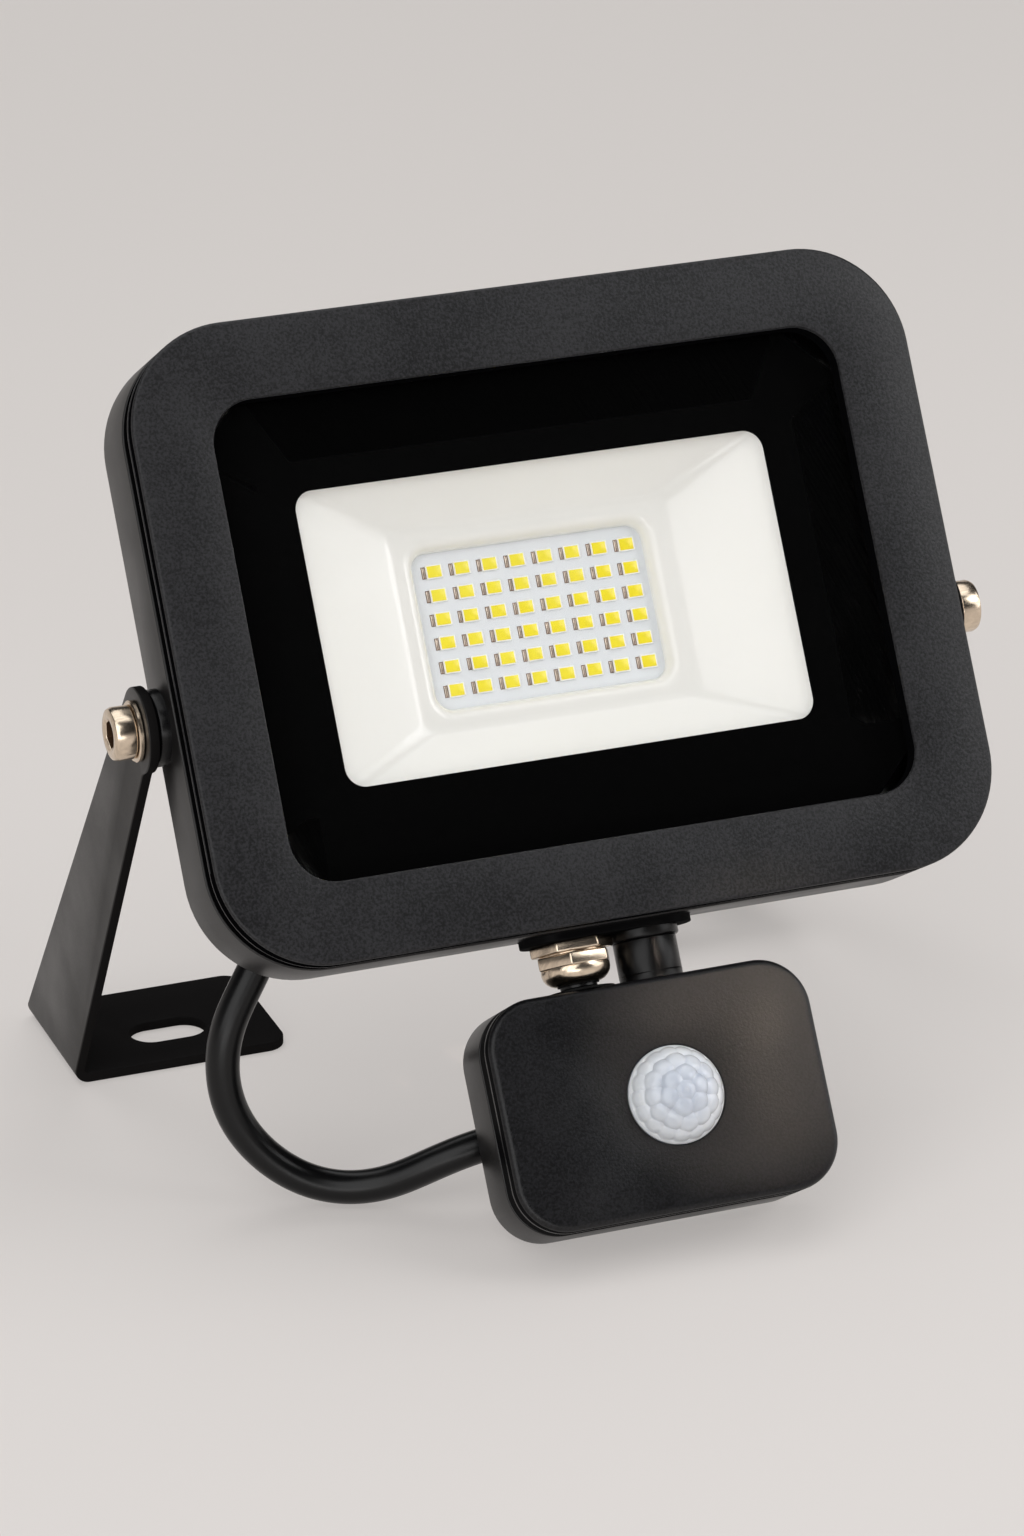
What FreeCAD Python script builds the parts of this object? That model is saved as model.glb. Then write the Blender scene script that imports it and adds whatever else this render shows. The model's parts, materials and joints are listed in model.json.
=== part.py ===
import FreeCAD
import Part
import math
import os

Vector = FreeCAD.Vector
Placement = FreeCAD.Placement
Rotation = FreeCAD.Rotation

# Lengths are in millimetres and angles in degrees.
# The lamp's own frame has x to the right, y back from the bezel's face and z up the face,
# with its origin at the middle of that face.

# Lamp casing
CASE_WIDTH = 190.0
CASE_HEIGHT = 148.0
CASE_CORNER = 25.0
CASE_WALL = 3.0
CASE_DEPTH = 28.5
REAR_PLATE = 3.5
REAR_EDGE = 3.0
BEZEL_DEPTH = 8.2
BEZEL_EDGE = 2.2
WINDOW_WIDTH = 153.0
WINDOW_HEIGHT = 111.0
WINDOW_CORNER = 10.5
WINDOW_EDGE = 0.8
JOINT_GAP = 0.8
GASKET_INSET = 0.8
GASKET_WIDTH = 2.0

# Glass, the black mask behind it and the reflector
GLASS_SETBACK = 5.0
GLASS_THICK = 4.0
GLASS_LAP = 2.5
GLASS_PLAY = 0.4
MASK_THICK = 0.8
MASK_WIDTH = 115.5
MASK_HEIGHT = 69.0
MASK_CORNER = 4.7
REFLECTOR_SKIN = 1.2
MOUTH_WIDTH = 121.0
MOUTH_HEIGHT = 75.0
MOUTH_CORNER = 6.0
WELL_WIDTH = 57.5
WELL_HEIGHT = 38.0
WELL_CORNER = 4.5

# LED board and its emitters
BOARD_THICK = 1.4
BOARD_MARGIN = 4.0
LED_COLUMNS = 8
LED_ROWS = 6
LED_PITCH_X = 7.0
LED_PITCH_Z = 5.5
LED_WIDTH = 4.2
LED_HEIGHT = 3.2
LED_THICK = 0.7
LED_LEFT_RIM = 0.62
LED_RIGHT_RIM = 0.36
LED_TOP_RIM = 0.26
BOARD_CORNER = 1.5
PHOSPHOR_DEPTH = 0.3

# Driver box on the back, its lid and board
BOX_WIDTH = 64.0
BOX_HEIGHT = 84.0
BOX_DROP = 8.0
BOX_CORNER = 8.0
BOX_WALL = 3.0
BOX_DEPTH = 15.0
LID_THICK = 2.5
LID_EDGE = 1.2
WIRE_HOLE_RADIUS = 4.0
DRIVER_WIDTH = 46.0
DRIVER_HEIGHT = 58.0
DRIVER_THICK = 1.6
DRIVER_GAP = 1.5
STANDOFF_RADIUS = 2.5
TRANSFORMER = (18.0, 6.5, 16.0)
TRANSFORMER_RISE = 4.0
TERMINAL = (18.0, 6.0, 8.0)
TERMINAL_SHIFT = -11.0
TERMINAL_DROP = 18.0
CAPACITOR_RADIUS = 3.2
CAPACITOR_LENGTH = 11.0
CAPACITOR_SHIFT = 15.0
CAPACITOR_GAP = 2.0
PART_SINK = 0.2

# Cooling fins beside the box
FIN_THICK = 2.2
FIN_PITCH = 8.0
FIN_COUNT = 5
FIN_DEPTH = 6.5
FIN_GAP = 6.0
FIN_TOP = 60.0
FIN_BOTTOM = -18.0
FIN_SLOPE = 6.0

# Casing and lid screws
CASE_SCREW_INSET = 13.0
SCREW_RADIUS = 2.0
SCREW_HEAD_RADIUS = 3.6
SCREW_HEAD_THICK = 2.2
SCREW_HEX = 2.6
PILLAR_RADIUS = 5.0
BEZEL_SCREW_DEPTH = 4.5
LID_SCREW_INSET = 7.0
LID_SCREW_LENGTH = 9.0

# Side pivots of the bracket legs
PIVOT_BACK = 21.5
PIVOT_DROP = 12.5
BOSS_RADIUS = 8.0
BOSS_PROUD = 3.0
BOSS_INSIDE = 9.0
PIVOT_SHANK = 3.0
PIVOT_FIT = 0.05
FACE_GAP = 0.1
WASHER_RADIUS = 7.1
WASHER_THICK = 1.3
PIVOT_HEAD_RADIUS = 6.2
PIVOT_HEAD_LENGTH = 5.2
PIVOT_HEAD_EDGE = 1.2
PIVOT_SOCKET_FLATS = 6.0
PIVOT_SOCKET_DEPTH = 3.2

# Bracket legs, bent from flat strip
LEG_THICK = 2.5
EAR_RADIUS = 10.0
NECK_INSET = 2.2
NECK_FILLET = 3.0
LEG_DROP = 117.0
FOOT_SETBACK = 57.7
FOOT_WIDTH = 40.0
FOOT_LENGTH = 54.5
FOOT_CORNER = 5.0
BEND_OUTER = 3.6
BEND_INNER = 1.1
SLOT_LENGTH = 19.0
SLOT_WIDTH = 11.0
SLOT_INSET = 28.5
SLOT_SETBACK = 16.0
RIGHT_LEG_SWING = 9.5

# Underside pad, cable gland and link cable
PAD_HEIGHT = 2.0
PAD_OVERHANG = 3.5
OUTLET_BACK = 19.5
GLAND_X = -9.0
GLAND_THREAD = 6.0
GLAND_HEX_FLATS = 17.0
GLAND_HEX_THICK = 2.5
GLAND_HEX_TURN = 20.0
GLAND_NECK = 0.3
CAP_HEX_FLATS = 16.0
CAP_HEX_THICK = 3.0
CAP_HEX_TURN = 38.0
CAP_DOME_RADIUS = 7.7
CAP_DOME_HEIGHT = 4.0
CAP_DOME_EDGE = 3.2
LINK_RADIUS = 4.0
GLAND_SEAL_WALL = 0.9
GLAND_SEAL_PROUD = 0.3

# Sensor post
POST_X = 8.8
POST_LENGTH = 12.0
COLLAR_RADIUS = 8.2
COLLAR_HEIGHT = 2.2
POST_RADIUS = 7.4
POST_SHOULDER_GAP = 1.7
TONGUE_THICK = 8.0
TONGUE_RADIUS = 5.0
TILT_PIN_RADIUS = 2.0
TILT_PIN_FIT = 0.05

# Sensor head: its frame has the tilt pin's axis as origin
SENSOR_WIDTH = 78.0
SENSOR_HEIGHT = 54.0
SENSOR_CORNER = 12.0
SENSOR_THICK = 25.5
SENSOR_WALL = 2.2
SENSOR_EDGE = 1.6
SENSOR_REAR_EDGE = 1.8
COVER_DEPTH = 8.5
COVER_JOINT_GAP = 0.7
SENSOR_LIP = 1.0
PIN_BELOW_TOP = 6.0
PIN_BEHIND_FACE = 9.5
SENSOR_SHIFT = -5.3
SENSOR_TURN = -2.7
SENSOR_TILT = -2.0
TILT_RANGE = 10.0
EAR_PLATE = 3.0
EAR_PLATE_GAP = 0.4
EAR_TOP_GAP = 0.3
LENS_X = 2.6
LENS_DOWN = 27.5
LENS_RADIUS = 11.4
LENS_RISE = 8.6
LENS_SKIN = 0.9
LENS_FLANGE = 1.4
LENS_HOLE_PLAY = 0.2
SENSOR_BOARD_WIDTH = 50.0
SENSOR_BOARD_HEIGHT = 30.0
SENSOR_BOARD_DOWN = 34.0
SENSOR_BOARD_BACK = 13.0
SENSOR_BOARD_THICK = 1.4
RELAY = (12.0, 7.0, 14.0)
RELAY_SHIFT = 18.0
PIR_CAN_RADIUS = 4.6
PIR_CAN_HEIGHT = 4.2
PIR_RIM = 0.6
SENSOR_SCREW_INSET = 8.5
SENSOR_SCREW_RADIUS = 1.3
SENSOR_SCREW_HEAD = 2.6
SENSOR_SCREW_HEAD_THICK = 1.6
SENSOR_SCREW_WALL = 1.4
CROSS_SLOT_REACH = 1.6
CROSS_SLOT_WIDTH = 0.7
CROSS_SLOT_DEPTH = 0.9
GROMMET_WALL = 1.6
GROMMET_LIP = 0.8
GROMMET_PROUD = 0.5
LINK_SWING_ROOM = 1.9

# Supply cord between the back of the lamp and the sensor's inlet hood
CORD_RADIUS = 4.0
HOOD_RADIUS = 7.5
HOOD_BACK = 8.5
HOOD_DOWN = 28.0
HOOD_LENGTH = 17.0
HOOD_END_INSET = 7.0
BUSH_WALL = 1.6
BUSH_PROUD = 1.5
BUSH_DEPTH = 8.0
BUSH_FIT = 0.05
INLET_BACK = 36.3
INLET_DOWN = 36.0
INLET_HEX_FLATS = 13.0
INLET_HEX_THICK = 4.0
INLET_NOSE_RADIUS = 6.0
INLET_NOSE_TAPER = 1.2
INLET_NOSE_LENGTH = 7.5

# The cord's loop, by hand. It starts and ends with a straight lead at each mouth.
# x is from the lamp's middle, y from the pivot axis and z from the surface it stands on.
CORD_LEAD_OUT = 18.5
CORD_LEAD_IN = 9.5
CORD_LOOP = [
    (-71.0, -6.0, 60.0),
    (-86.0, -10.0, 45.0),
    (-86.5, -12.7, 21.5),
    (-69.8, -20.0, 4.3),
    (-48.0, -29.5, 5.2),
]

OUT = "parts"
HALF_BEZEL_X = CASE_WIDTH / 2
HALF_BEZEL_Z = CASE_HEIGHT / 2
HOUSING_FRONT = BEZEL_DEPTH + JOINT_GAP
CAVITY_BACK = CASE_DEPTH - REAR_PLATE
GLASS_BACK = GLASS_SETBACK + GLASS_THICK
FLANGE_FRONT = GLASS_BACK + MASK_THICK
BOARD_FRONT = CAVITY_BACK - BOARD_THICK
BOX_BACK = CASE_DEPTH + BOX_DEPTH
BOSS_FACE = HALF_BEZEL_X + BOSS_PROUD
LEG_INNER = BOSS_FACE + FACE_GAP
LEG_OUTER = LEG_INNER + LEG_THICK
WASHER_INNER = LEG_OUTER + FACE_GAP
HEAD_INNER = WASHER_INNER + WASHER_THICK
PAD_FACE = -HALF_BEZEL_Z - PAD_HEIGHT
SENSOR_TOP_DROP = HALF_BEZEL_Z + PAD_HEIGHT + POST_LENGTH
GLAND_FACE = PAD_FACE - GLAND_HEX_THICK
CAP_TOP = GLAND_FACE - GLAND_NECK
CAP_HEX_FACE = CAP_TOP - CAP_HEX_THICK
CAP_FACE = CAP_HEX_FACE - CAP_DOME_HEIGHT
COLLAR_FACE = PAD_FACE - COLLAR_HEIGHT


def rounded_wire(width, height, corner, y, x0=0.0, z0=0.0):
    """Rounded rectangle in the plane at depth y, centred on x0, z0."""
    a = width / 2
    b = height / 2
    r = corner
    k = r * math.sqrt(0.5)
    edges = []
    for sx, sz in ((1, 1), (-1, 1), (-1, -1), (1, -1)):
        cx = x0 + sx * (a - r)
        cz = z0 + sz * (b - r)
        side = Vector(cx + sx * r, y, cz)
        middle = Vector(cx + sx * k, y, cz + sz * k)
        top = Vector(cx, y, cz + sz * r)
        if sx * sz > 0:
            edges.append((side, middle, top))
        else:
            edges.append((top, middle, side))
    parts = []
    for i, (start, middle, end) in enumerate(edges):
        parts.append(Part.Arc(start, middle, end).toShape())
        parts.append(Part.makeLine(end, edges[(i + 1) % 4][0]))
    return Part.Wire(parts)


def slab(width, height, corner, y0, y1, x0=0.0, z0=0.0):
    """Rounded rectangle drawn out from depth y0 to y1."""
    face = Part.Face(rounded_wire(width, height, corner, y0, x0, z0))
    return face.extrude(Vector(0, y1 - y0, 0))


def rod_x(radius, x0, x1, y, z):
    low = min(x0, x1)
    return Part.makeCylinder(radius, abs(x1 - x0), Vector(low, y, z), Vector(1, 0, 0))


def rod_y(radius, y0, y1, x, z):
    return Part.makeCylinder(radius, y1 - y0, Vector(x, y0, z), Vector(0, 1, 0))


def rod_z(radius, z0, z1, x, y):
    return Part.makeCylinder(radius, z1 - z0, Vector(x, y, z0), Vector(0, 0, 1))


def block(x0, x1, y0, y1, z0, z1):
    return Part.makeBox(x1 - x0, y1 - y0, z1 - z0, Vector(x0, y0, z0))


def hexagon(flats, length, base, direction, turn=0.0):
    """Six-sided prism across its flats, from a base point along a direction."""
    radius = flats / math.sqrt(3)
    angles = [math.radians(turn + 60 * i) for i in range(7)]
    points = [Vector(radius * math.cos(a), radius * math.sin(a), 0) for a in angles]
    prism = Part.Face(Part.makePolygon(points)).extrude(Vector(0, 0, length))
    prism.Placement = Placement(base, Rotation(Vector(0, 0, 1), direction))
    return prism


def edges_where(shape, test):
    """Edges whose ends and middle all pass the test."""
    found = []
    for edge in shape.Edges:
        if edge.Length < 1e-6:
            continue
        low, high = edge.ParameterRange
        points = [edge.valueAt(low + (high - low) * t) for t in (0.05, 0.5, 0.95)]
        if all(test(p) for p in points):
            found.append(edge)
    return found


def rounded_at_y(shape, y, radius, outer=None):
    """Rounds the edges that lie at depth y, all of them or those outside a box."""
    def test(p):
        if abs(p.y - y) > 1e-4:
            return False
        return outer is None or outer(p)
    return shape.makeFillet(radius, edges_where(shape, test))


def case_screw_places():
    x = HALF_BEZEL_X - CASE_SCREW_INSET
    z = HALF_BEZEL_Z - CASE_SCREW_INSET
    return [(sx * x, sz * z) for sx in (-1, 1) for sz in (-1, 1)]


def lid_screw_places():
    x = BOX_WIDTH / 2 - LID_SCREW_INSET
    z = BOX_HEIGHT / 2 - LID_SCREW_INSET
    return [(sx * x, sz * z - BOX_DROP) for sx in (-1, 1) for sz in (-1, 1)]


def sensor_screw_places():
    x = SENSOR_WIDTH / 2 - SENSOR_SCREW_INSET
    z = SENSOR_HEIGHT / 2 - SENSOR_SCREW_INSET
    return [(sx * x, sz * z) for sx in (-1, 1) for sz in (-1, 1)]


def front_bezel():
    """Cast frame with a stepped seat behind for the glass and four blind screw holes."""
    frame = slab(CASE_WIDTH, CASE_HEIGHT, CASE_CORNER, 0, BEZEL_DEPTH)
    frame = rounded_at_y(frame, 0, BEZEL_EDGE)
    window = slab(WINDOW_WIDTH, WINDOW_HEIGHT, WINDOW_CORNER, -1, BEZEL_DEPTH + 1)
    frame = frame.cut(window)
    inner = lambda p: abs(p.x) < WINDOW_WIDTH / 2 + 0.1 and abs(p.z) < WINDOW_HEIGHT / 2 + 0.1
    frame = rounded_at_y(frame, 0, WINDOW_EDGE, inner)
    lap = 2 * (GLASS_LAP + GLASS_PLAY)
    corner = WINDOW_CORNER + GLASS_LAP + GLASS_PLAY
    seat = slab(WINDOW_WIDTH + lap, WINDOW_HEIGHT + lap, corner, GLASS_SETBACK, BEZEL_DEPTH + 1)
    frame = frame.cut(seat)
    for x, z in case_screw_places():
        frame = frame.cut(rod_y(SCREW_RADIUS, BEZEL_DEPTH - BEZEL_SCREW_DEPTH, BEZEL_DEPTH + 1, x, z))
    return frame


def bezel_gasket():
    """Rubber ring that shows as a dark line between bezel and housing."""
    inset = 2 * GASKET_INSET
    outer = slab(CASE_WIDTH - inset, CASE_HEIGHT - inset, CASE_CORNER - GASKET_INSET,
                 BEZEL_DEPTH, HOUSING_FRONT)
    inset += 2 * GASKET_WIDTH
    inner = slab(CASE_WIDTH - inset, CASE_HEIGHT - inset,
                 CASE_CORNER - GASKET_INSET - GASKET_WIDTH, BEZEL_DEPTH - 1, HOUSING_FRONT + 1)
    return outer.cut(inner)


def fin(x):
    """One upright cooling fin with sloped ends."""
    y0 = CASE_DEPTH - 0.5
    y1 = CASE_DEPTH + FIN_DEPTH
    points = [(y0, FIN_BOTTOM), (y1, FIN_BOTTOM + FIN_SLOPE), (y1, FIN_TOP - FIN_SLOPE), (y0, FIN_TOP)]
    corners = [Vector(x - FIN_THICK / 2, y, z) for y, z in points]
    outline = Part.makePolygon(corners + corners[:1])
    return Part.Face(outline).extrude(Vector(FIN_THICK, 0, 0))


def rear_housing():
    """Cast shell with side bosses, outlet pad, driver box, screw pillars and cooling fins."""
    shell = slab(CASE_WIDTH, CASE_HEIGHT, CASE_CORNER, HOUSING_FRONT, CASE_DEPTH)
    shell = rounded_at_y(shell, CASE_DEPTH, REAR_EDGE)
    box = slab(BOX_WIDTH, BOX_HEIGHT, BOX_CORNER, CASE_DEPTH - 1, BOX_BACK, 0, -BOX_DROP)
    shell = shell.fuse(box)
    pad_low = GLAND_X - GLAND_HEX_FLATS / 2 - PAD_OVERHANG
    pad_high = POST_X + COLLAR_RADIUS + PAD_OVERHANG
    pad_half = CASE_DEPTH - OUTLET_BACK - 0.2
    pad = block(pad_low + pad_half, pad_high - pad_half, OUTLET_BACK - pad_half,
                OUTLET_BACK + pad_half, PAD_FACE, -HALF_BEZEL_Z + REAR_EDGE)
    for x in (pad_low + pad_half, pad_high - pad_half):
        pad = pad.fuse(rod_z(pad_half, PAD_FACE, -HALF_BEZEL_Z + REAR_EDGE, x, OUTLET_BACK))
    shell = shell.fuse(pad)
    for side in (-1, 1):
        shell = shell.fuse(rod_x(BOSS_RADIUS, side * (HALF_BEZEL_X - 1), side * BOSS_FACE,
                                 PIVOT_BACK, -PIVOT_DROP))
        for i in range(FIN_COUNT):
            x = BOX_WIDTH / 2 + FIN_GAP + i * FIN_PITCH
            shell = shell.fuse(fin(side * x))
    wall = 2 * CASE_WALL
    cavity = slab(CASE_WIDTH - wall, CASE_HEIGHT - wall, CASE_CORNER - CASE_WALL,
                  HOUSING_FRONT - 1, CAVITY_BACK)
    shell = shell.cut(cavity)
    inner_box = slab(BOX_WIDTH - 2 * BOX_WALL, BOX_HEIGHT - 2 * BOX_WALL, BOX_CORNER - BOX_WALL,
                     CASE_DEPTH, BOX_BACK + 1, 0, -BOX_DROP)
    shell = shell.cut(inner_box)
    shell = shell.cut(rod_y(WIRE_HOLE_RADIUS, CAVITY_BACK - 1, CASE_DEPTH + 1,
                            0, -BOX_DROP - BOX_HEIGHT / 2 + 2 * BOX_WALL + WIRE_HOLE_RADIUS))
    for x, z in case_screw_places():
        shell = shell.fuse(rod_y(PILLAR_RADIUS, HOUSING_FRONT, CAVITY_BACK + 1, x, z))
        shell = shell.cut(rod_y(SCREW_RADIUS, HOUSING_FRONT - 1, CASE_DEPTH + 1, x, z))
        shell = shell.cut(rod_y(SCREW_HEAD_RADIUS + PIVOT_FIT, CASE_DEPTH - SCREW_HEAD_THICK,
                                CASE_DEPTH + 1, x, z))
    for x, z in lid_screw_places():
        shell = shell.fuse(rod_y(PILLAR_RADIUS, CASE_DEPTH - 0.5, BOX_BACK, x, z))
        shell = shell.cut(rod_y(SCREW_RADIUS, BOX_BACK - LID_SCREW_LENGTH, BOX_BACK + 1, x, z))
    for side in (-1, 1):
        inside = HALF_BEZEL_X - CASE_WALL - BOSS_INSIDE
        shell = shell.fuse(rod_x(BOSS_RADIUS, side * inside, side * (HALF_BEZEL_X - 1),
                                 PIVOT_BACK, -PIVOT_DROP).common(cavity))
        shell = shell.cut(rod_x(PIVOT_SHANK, side * (inside - 1), side * (BOSS_FACE + 1),
                                PIVOT_BACK, -PIVOT_DROP))
    outlet_top = -HALF_BEZEL_Z + CASE_WALL + 1
    shell = shell.cut(rod_z(GLAND_THREAD, PAD_FACE - 1, outlet_top, GLAND_X, OUTLET_BACK))
    shell = shell.cut(rod_z(GLAND_THREAD, PAD_FACE - 1, outlet_top, POST_X, OUTLET_BACK))
    shell = shell.cut(rod_x(LINK_RADIUS + BUSH_WALL, -BOX_WIDTH / 2 - 1, -BOX_WIDTH / 2 + BOX_WALL + 1,
                            INLET_BACK, -INLET_DOWN))
    return shell.removeSplitter()


def driver_lid():
    """Flat lid of the driver box."""
    lid = slab(BOX_WIDTH, BOX_HEIGHT, BOX_CORNER, BOX_BACK, BOX_BACK + LID_THICK, 0, -BOX_DROP)
    lid = rounded_at_y(lid, BOX_BACK + LID_THICK, LID_EDGE)
    for x, z in lid_screw_places():
        lid = lid.cut(rod_y(SCREW_RADIUS, BOX_BACK - 1, BOX_BACK + LID_THICK + 1, x, z))
    return lid


def driver_board():
    """Circuit board on four standoffs with its transformer, capacitors and terminal block."""
    y1 = BOX_BACK - DRIVER_GAP
    y0 = y1 - DRIVER_THICK
    board = slab(DRIVER_WIDTH, DRIVER_HEIGHT, 1.0, y0, y1, 0, -BOX_DROP)
    for sx in (-1, 1):
        for sz in (-1, 1):
            x = sx * (DRIVER_WIDTH / 2 - 2 * STANDOFF_RADIUS)
            z = sz * (DRIVER_HEIGHT / 2 - 2 * STANDOFF_RADIUS) - BOX_DROP
            board = board.fuse(rod_y(STANDOFF_RADIUS, CASE_DEPTH, y0 + PART_SINK, x, z))
    for size, x, z in ((TRANSFORMER, 0, TRANSFORMER_RISE), (TERMINAL, TERMINAL_SHIFT, -TERMINAL_DROP)):
        board = board.fuse(block(x - size[0] / 2, x + size[0] / 2, y0 - size[1], y0 + PART_SINK,
                                 z - BOX_DROP - size[2] / 2, z - BOX_DROP + size[2] / 2))
    for z in (CAPACITOR_GAP / 2, -CAPACITOR_GAP / 2 - CAPACITOR_LENGTH):
        board = board.fuse(rod_z(CAPACITOR_RADIUS, z - BOX_DROP, z - BOX_DROP + CAPACITOR_LENGTH,
                                 CAPACITOR_SHIFT, y0 - CAPACITOR_RADIUS + PART_SINK))
    return board.removeSplitter()


def glass():
    """Toughened panel that seats in the back of the bezel."""
    width = WINDOW_WIDTH + 2 * GLASS_LAP
    height = WINDOW_HEIGHT + 2 * GLASS_LAP
    return slab(width, height, WINDOW_CORNER + GLASS_LAP, GLASS_SETBACK, GLASS_BACK)


def glass_mask():
    """Soft black frame between the glass and the reflector's flange."""
    width = WINDOW_WIDTH + 2 * GLASS_LAP
    height = WINDOW_HEIGHT + 2 * GLASS_LAP
    corner = WINDOW_CORNER + GLASS_LAP
    frame = slab(width, height, corner, GLASS_BACK, FLANGE_FRONT)
    return frame.cut(slab(MASK_WIDTH, MASK_HEIGHT, MASK_CORNER, GLASS_BACK - 1, FLANGE_FRONT + 1))


def reflector():
    """Tray with four sloped sides from the flange down to the well round the LED board."""
    width = WINDOW_WIDTH + 2 * GLASS_LAP
    height = WINDOW_HEIGHT + 2 * GLASS_LAP
    flange_back = FLANGE_FRONT + REFLECTOR_SKIN
    flange = slab(width, height, WINDOW_CORNER + GLASS_LAP, FLANGE_FRONT, flange_back)
    skin = 2 * REFLECTOR_SKIN
    outside = Part.makeLoft([
        rounded_wire(MOUTH_WIDTH + skin, MOUTH_HEIGHT + skin, MOUTH_CORNER + REFLECTOR_SKIN, FLANGE_FRONT),
        rounded_wire(WELL_WIDTH + skin, WELL_HEIGHT + skin, WELL_CORNER + REFLECTOR_SKIN, BOARD_FRONT),
    ], True, True)
    inside = Part.makeLoft([
        rounded_wire(MOUTH_WIDTH, MOUTH_HEIGHT, MOUTH_CORNER, FLANGE_FRONT),
        rounded_wire(WELL_WIDTH, WELL_HEIGHT, WELL_CORNER, BOARD_FRONT),
    ], True, True)
    return flange.fuse(outside).cut(inside).removeSplitter()


def led_board():
    """Metal-backed board that lies on the rear plate under the reflector's well."""
    width = WELL_WIDTH + 2 * BOARD_MARGIN
    height = WELL_HEIGHT + 2 * BOARD_MARGIN
    return slab(width, height, WELL_CORNER, BOARD_FRONT, CAVITY_BACK)


def led_places():
    places = []
    for row in range(LED_ROWS):
        for column in range(LED_COLUMNS):
            x = (column - (LED_COLUMNS - 1) / 2) * LED_PITCH_X
            z = (row - (LED_ROWS - 1) / 2) * LED_PITCH_Z
            places.append((x, z))
    return places


def led_pocket(x, z, y0, y1):
    """Filling space of one emitter, between two depths. Its left rim is the widest."""
    return block(x - LED_WIDTH / 2 + LED_LEFT_RIM, x + LED_WIDTH / 2 - LED_RIGHT_RIM, y0, y1,
                 z - LED_HEIGHT / 2 + LED_TOP_RIM, z + LED_HEIGHT / 2 - LED_TOP_RIM)


def led_packages():
    """White emitter bodies, each with a shallow pocket."""
    bodies = []
    front = BOARD_FRONT - LED_THICK
    for x, z in led_places():
        body = block(x - LED_WIDTH / 2, x + LED_WIDTH / 2, front, BOARD_FRONT,
                     z - LED_HEIGHT / 2, z + LED_HEIGHT / 2)
        bodies.append(body.cut(led_pocket(x, z, front - 1, front + PHOSPHOR_DEPTH)))
    return Part.makeCompound(bodies)


def led_phosphors():
    """Yellow fillings of the emitters' pockets."""
    front = BOARD_FRONT - LED_THICK
    fillings = [led_pocket(x, z, front, front + PHOSPHOR_DEPTH) for x, z in led_places()]
    return Part.makeCompound(fillings)


def screw_y(x, z, face, length):
    """Round-headed socket screw that points forwards from its seat."""
    head = rod_y(SCREW_HEAD_RADIUS, face, face + SCREW_HEAD_THICK, x, z)
    screw = head.fuse(rod_y(SCREW_RADIUS, face - length, face, x, z))
    socket = hexagon(SCREW_HEX, SCREW_HEAD_THICK, Vector(x, face + SCREW_HEAD_THICK * 0.4, z), Vector(0, 1, 0))
    return screw.cut(socket)


def case_screws():
    """Four screws sunk in the back that hold the bezel."""
    seat = CASE_DEPTH - SCREW_HEAD_THICK
    length = seat - (BEZEL_DEPTH - BEZEL_SCREW_DEPTH)
    return Part.makeCompound([screw_y(x, z, seat, length) for x, z in case_screw_places()])


def lid_screws():
    """Four screws that hold the driver box's lid."""
    seat = BOX_BACK + LID_THICK
    length = LID_SCREW_LENGTH + LID_THICK
    return Part.makeCompound([screw_y(x, z, seat, length) for x, z in lid_screw_places()])


def pivot_screws():
    """Two cap screws that the legs turn on."""
    screws = []
    for side in (-1, 1):
        inner = HALF_BEZEL_X - CASE_WALL - BOSS_INSIDE
        outer = HEAD_INNER + PIVOT_HEAD_LENGTH
        head = rod_x(PIVOT_HEAD_RADIUS, side * HEAD_INNER, side * outer, PIVOT_BACK, -PIVOT_DROP)
        rim = edges_where(head, lambda p: abs(abs(p.x) - outer) < 1e-4)
        head = head.makeFillet(PIVOT_HEAD_EDGE, rim)
        screw = head.fuse(rod_x(PIVOT_SHANK, side * inner, side * HEAD_INNER, PIVOT_BACK, -PIVOT_DROP))
        base = Vector(side * (outer - PIVOT_SOCKET_DEPTH), PIVOT_BACK, -PIVOT_DROP)
        socket = hexagon(PIVOT_SOCKET_FLATS, PIVOT_SOCKET_DEPTH + 1, base, Vector(side, 0, 0))
        screws.append(screw.cut(socket))
    return Part.makeCompound(screws)


def pivot_washers():
    """Flat washers under the pivot screws' heads."""
    rings = []
    for side in (-1, 1):
        ring = rod_x(WASHER_RADIUS, side * WASHER_INNER, side * HEAD_INNER, PIVOT_BACK, -PIVOT_DROP)
        rings.append(ring.cut(rod_x(PIVOT_SHANK, side * (WASHER_INNER - 1), side * (HEAD_INNER + 1),
                                    PIVOT_BACK, -PIVOT_DROP)))
    return Part.makeCompound(rings)


def gland_body():
    """Hexagon seat of the cable gland and its thread in the pad."""
    base = Vector(GLAND_X, OUTLET_BACK, GLAND_FACE)
    body = hexagon(GLAND_HEX_FLATS, GLAND_HEX_THICK, base, Vector(0, 0, 1), GLAND_HEX_TURN)
    top = -HALF_BEZEL_Z + CASE_WALL
    body = body.fuse(rod_z(GLAND_THREAD, GLAND_FACE, top, GLAND_X, OUTLET_BACK))
    body = body.fuse(rod_z(GLAND_THREAD, CAP_TOP, GLAND_FACE, GLAND_X, OUTLET_BACK))
    return body.cut(rod_z(LINK_RADIUS, CAP_TOP - 1, top + 1, GLAND_X, OUTLET_BACK))


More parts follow.
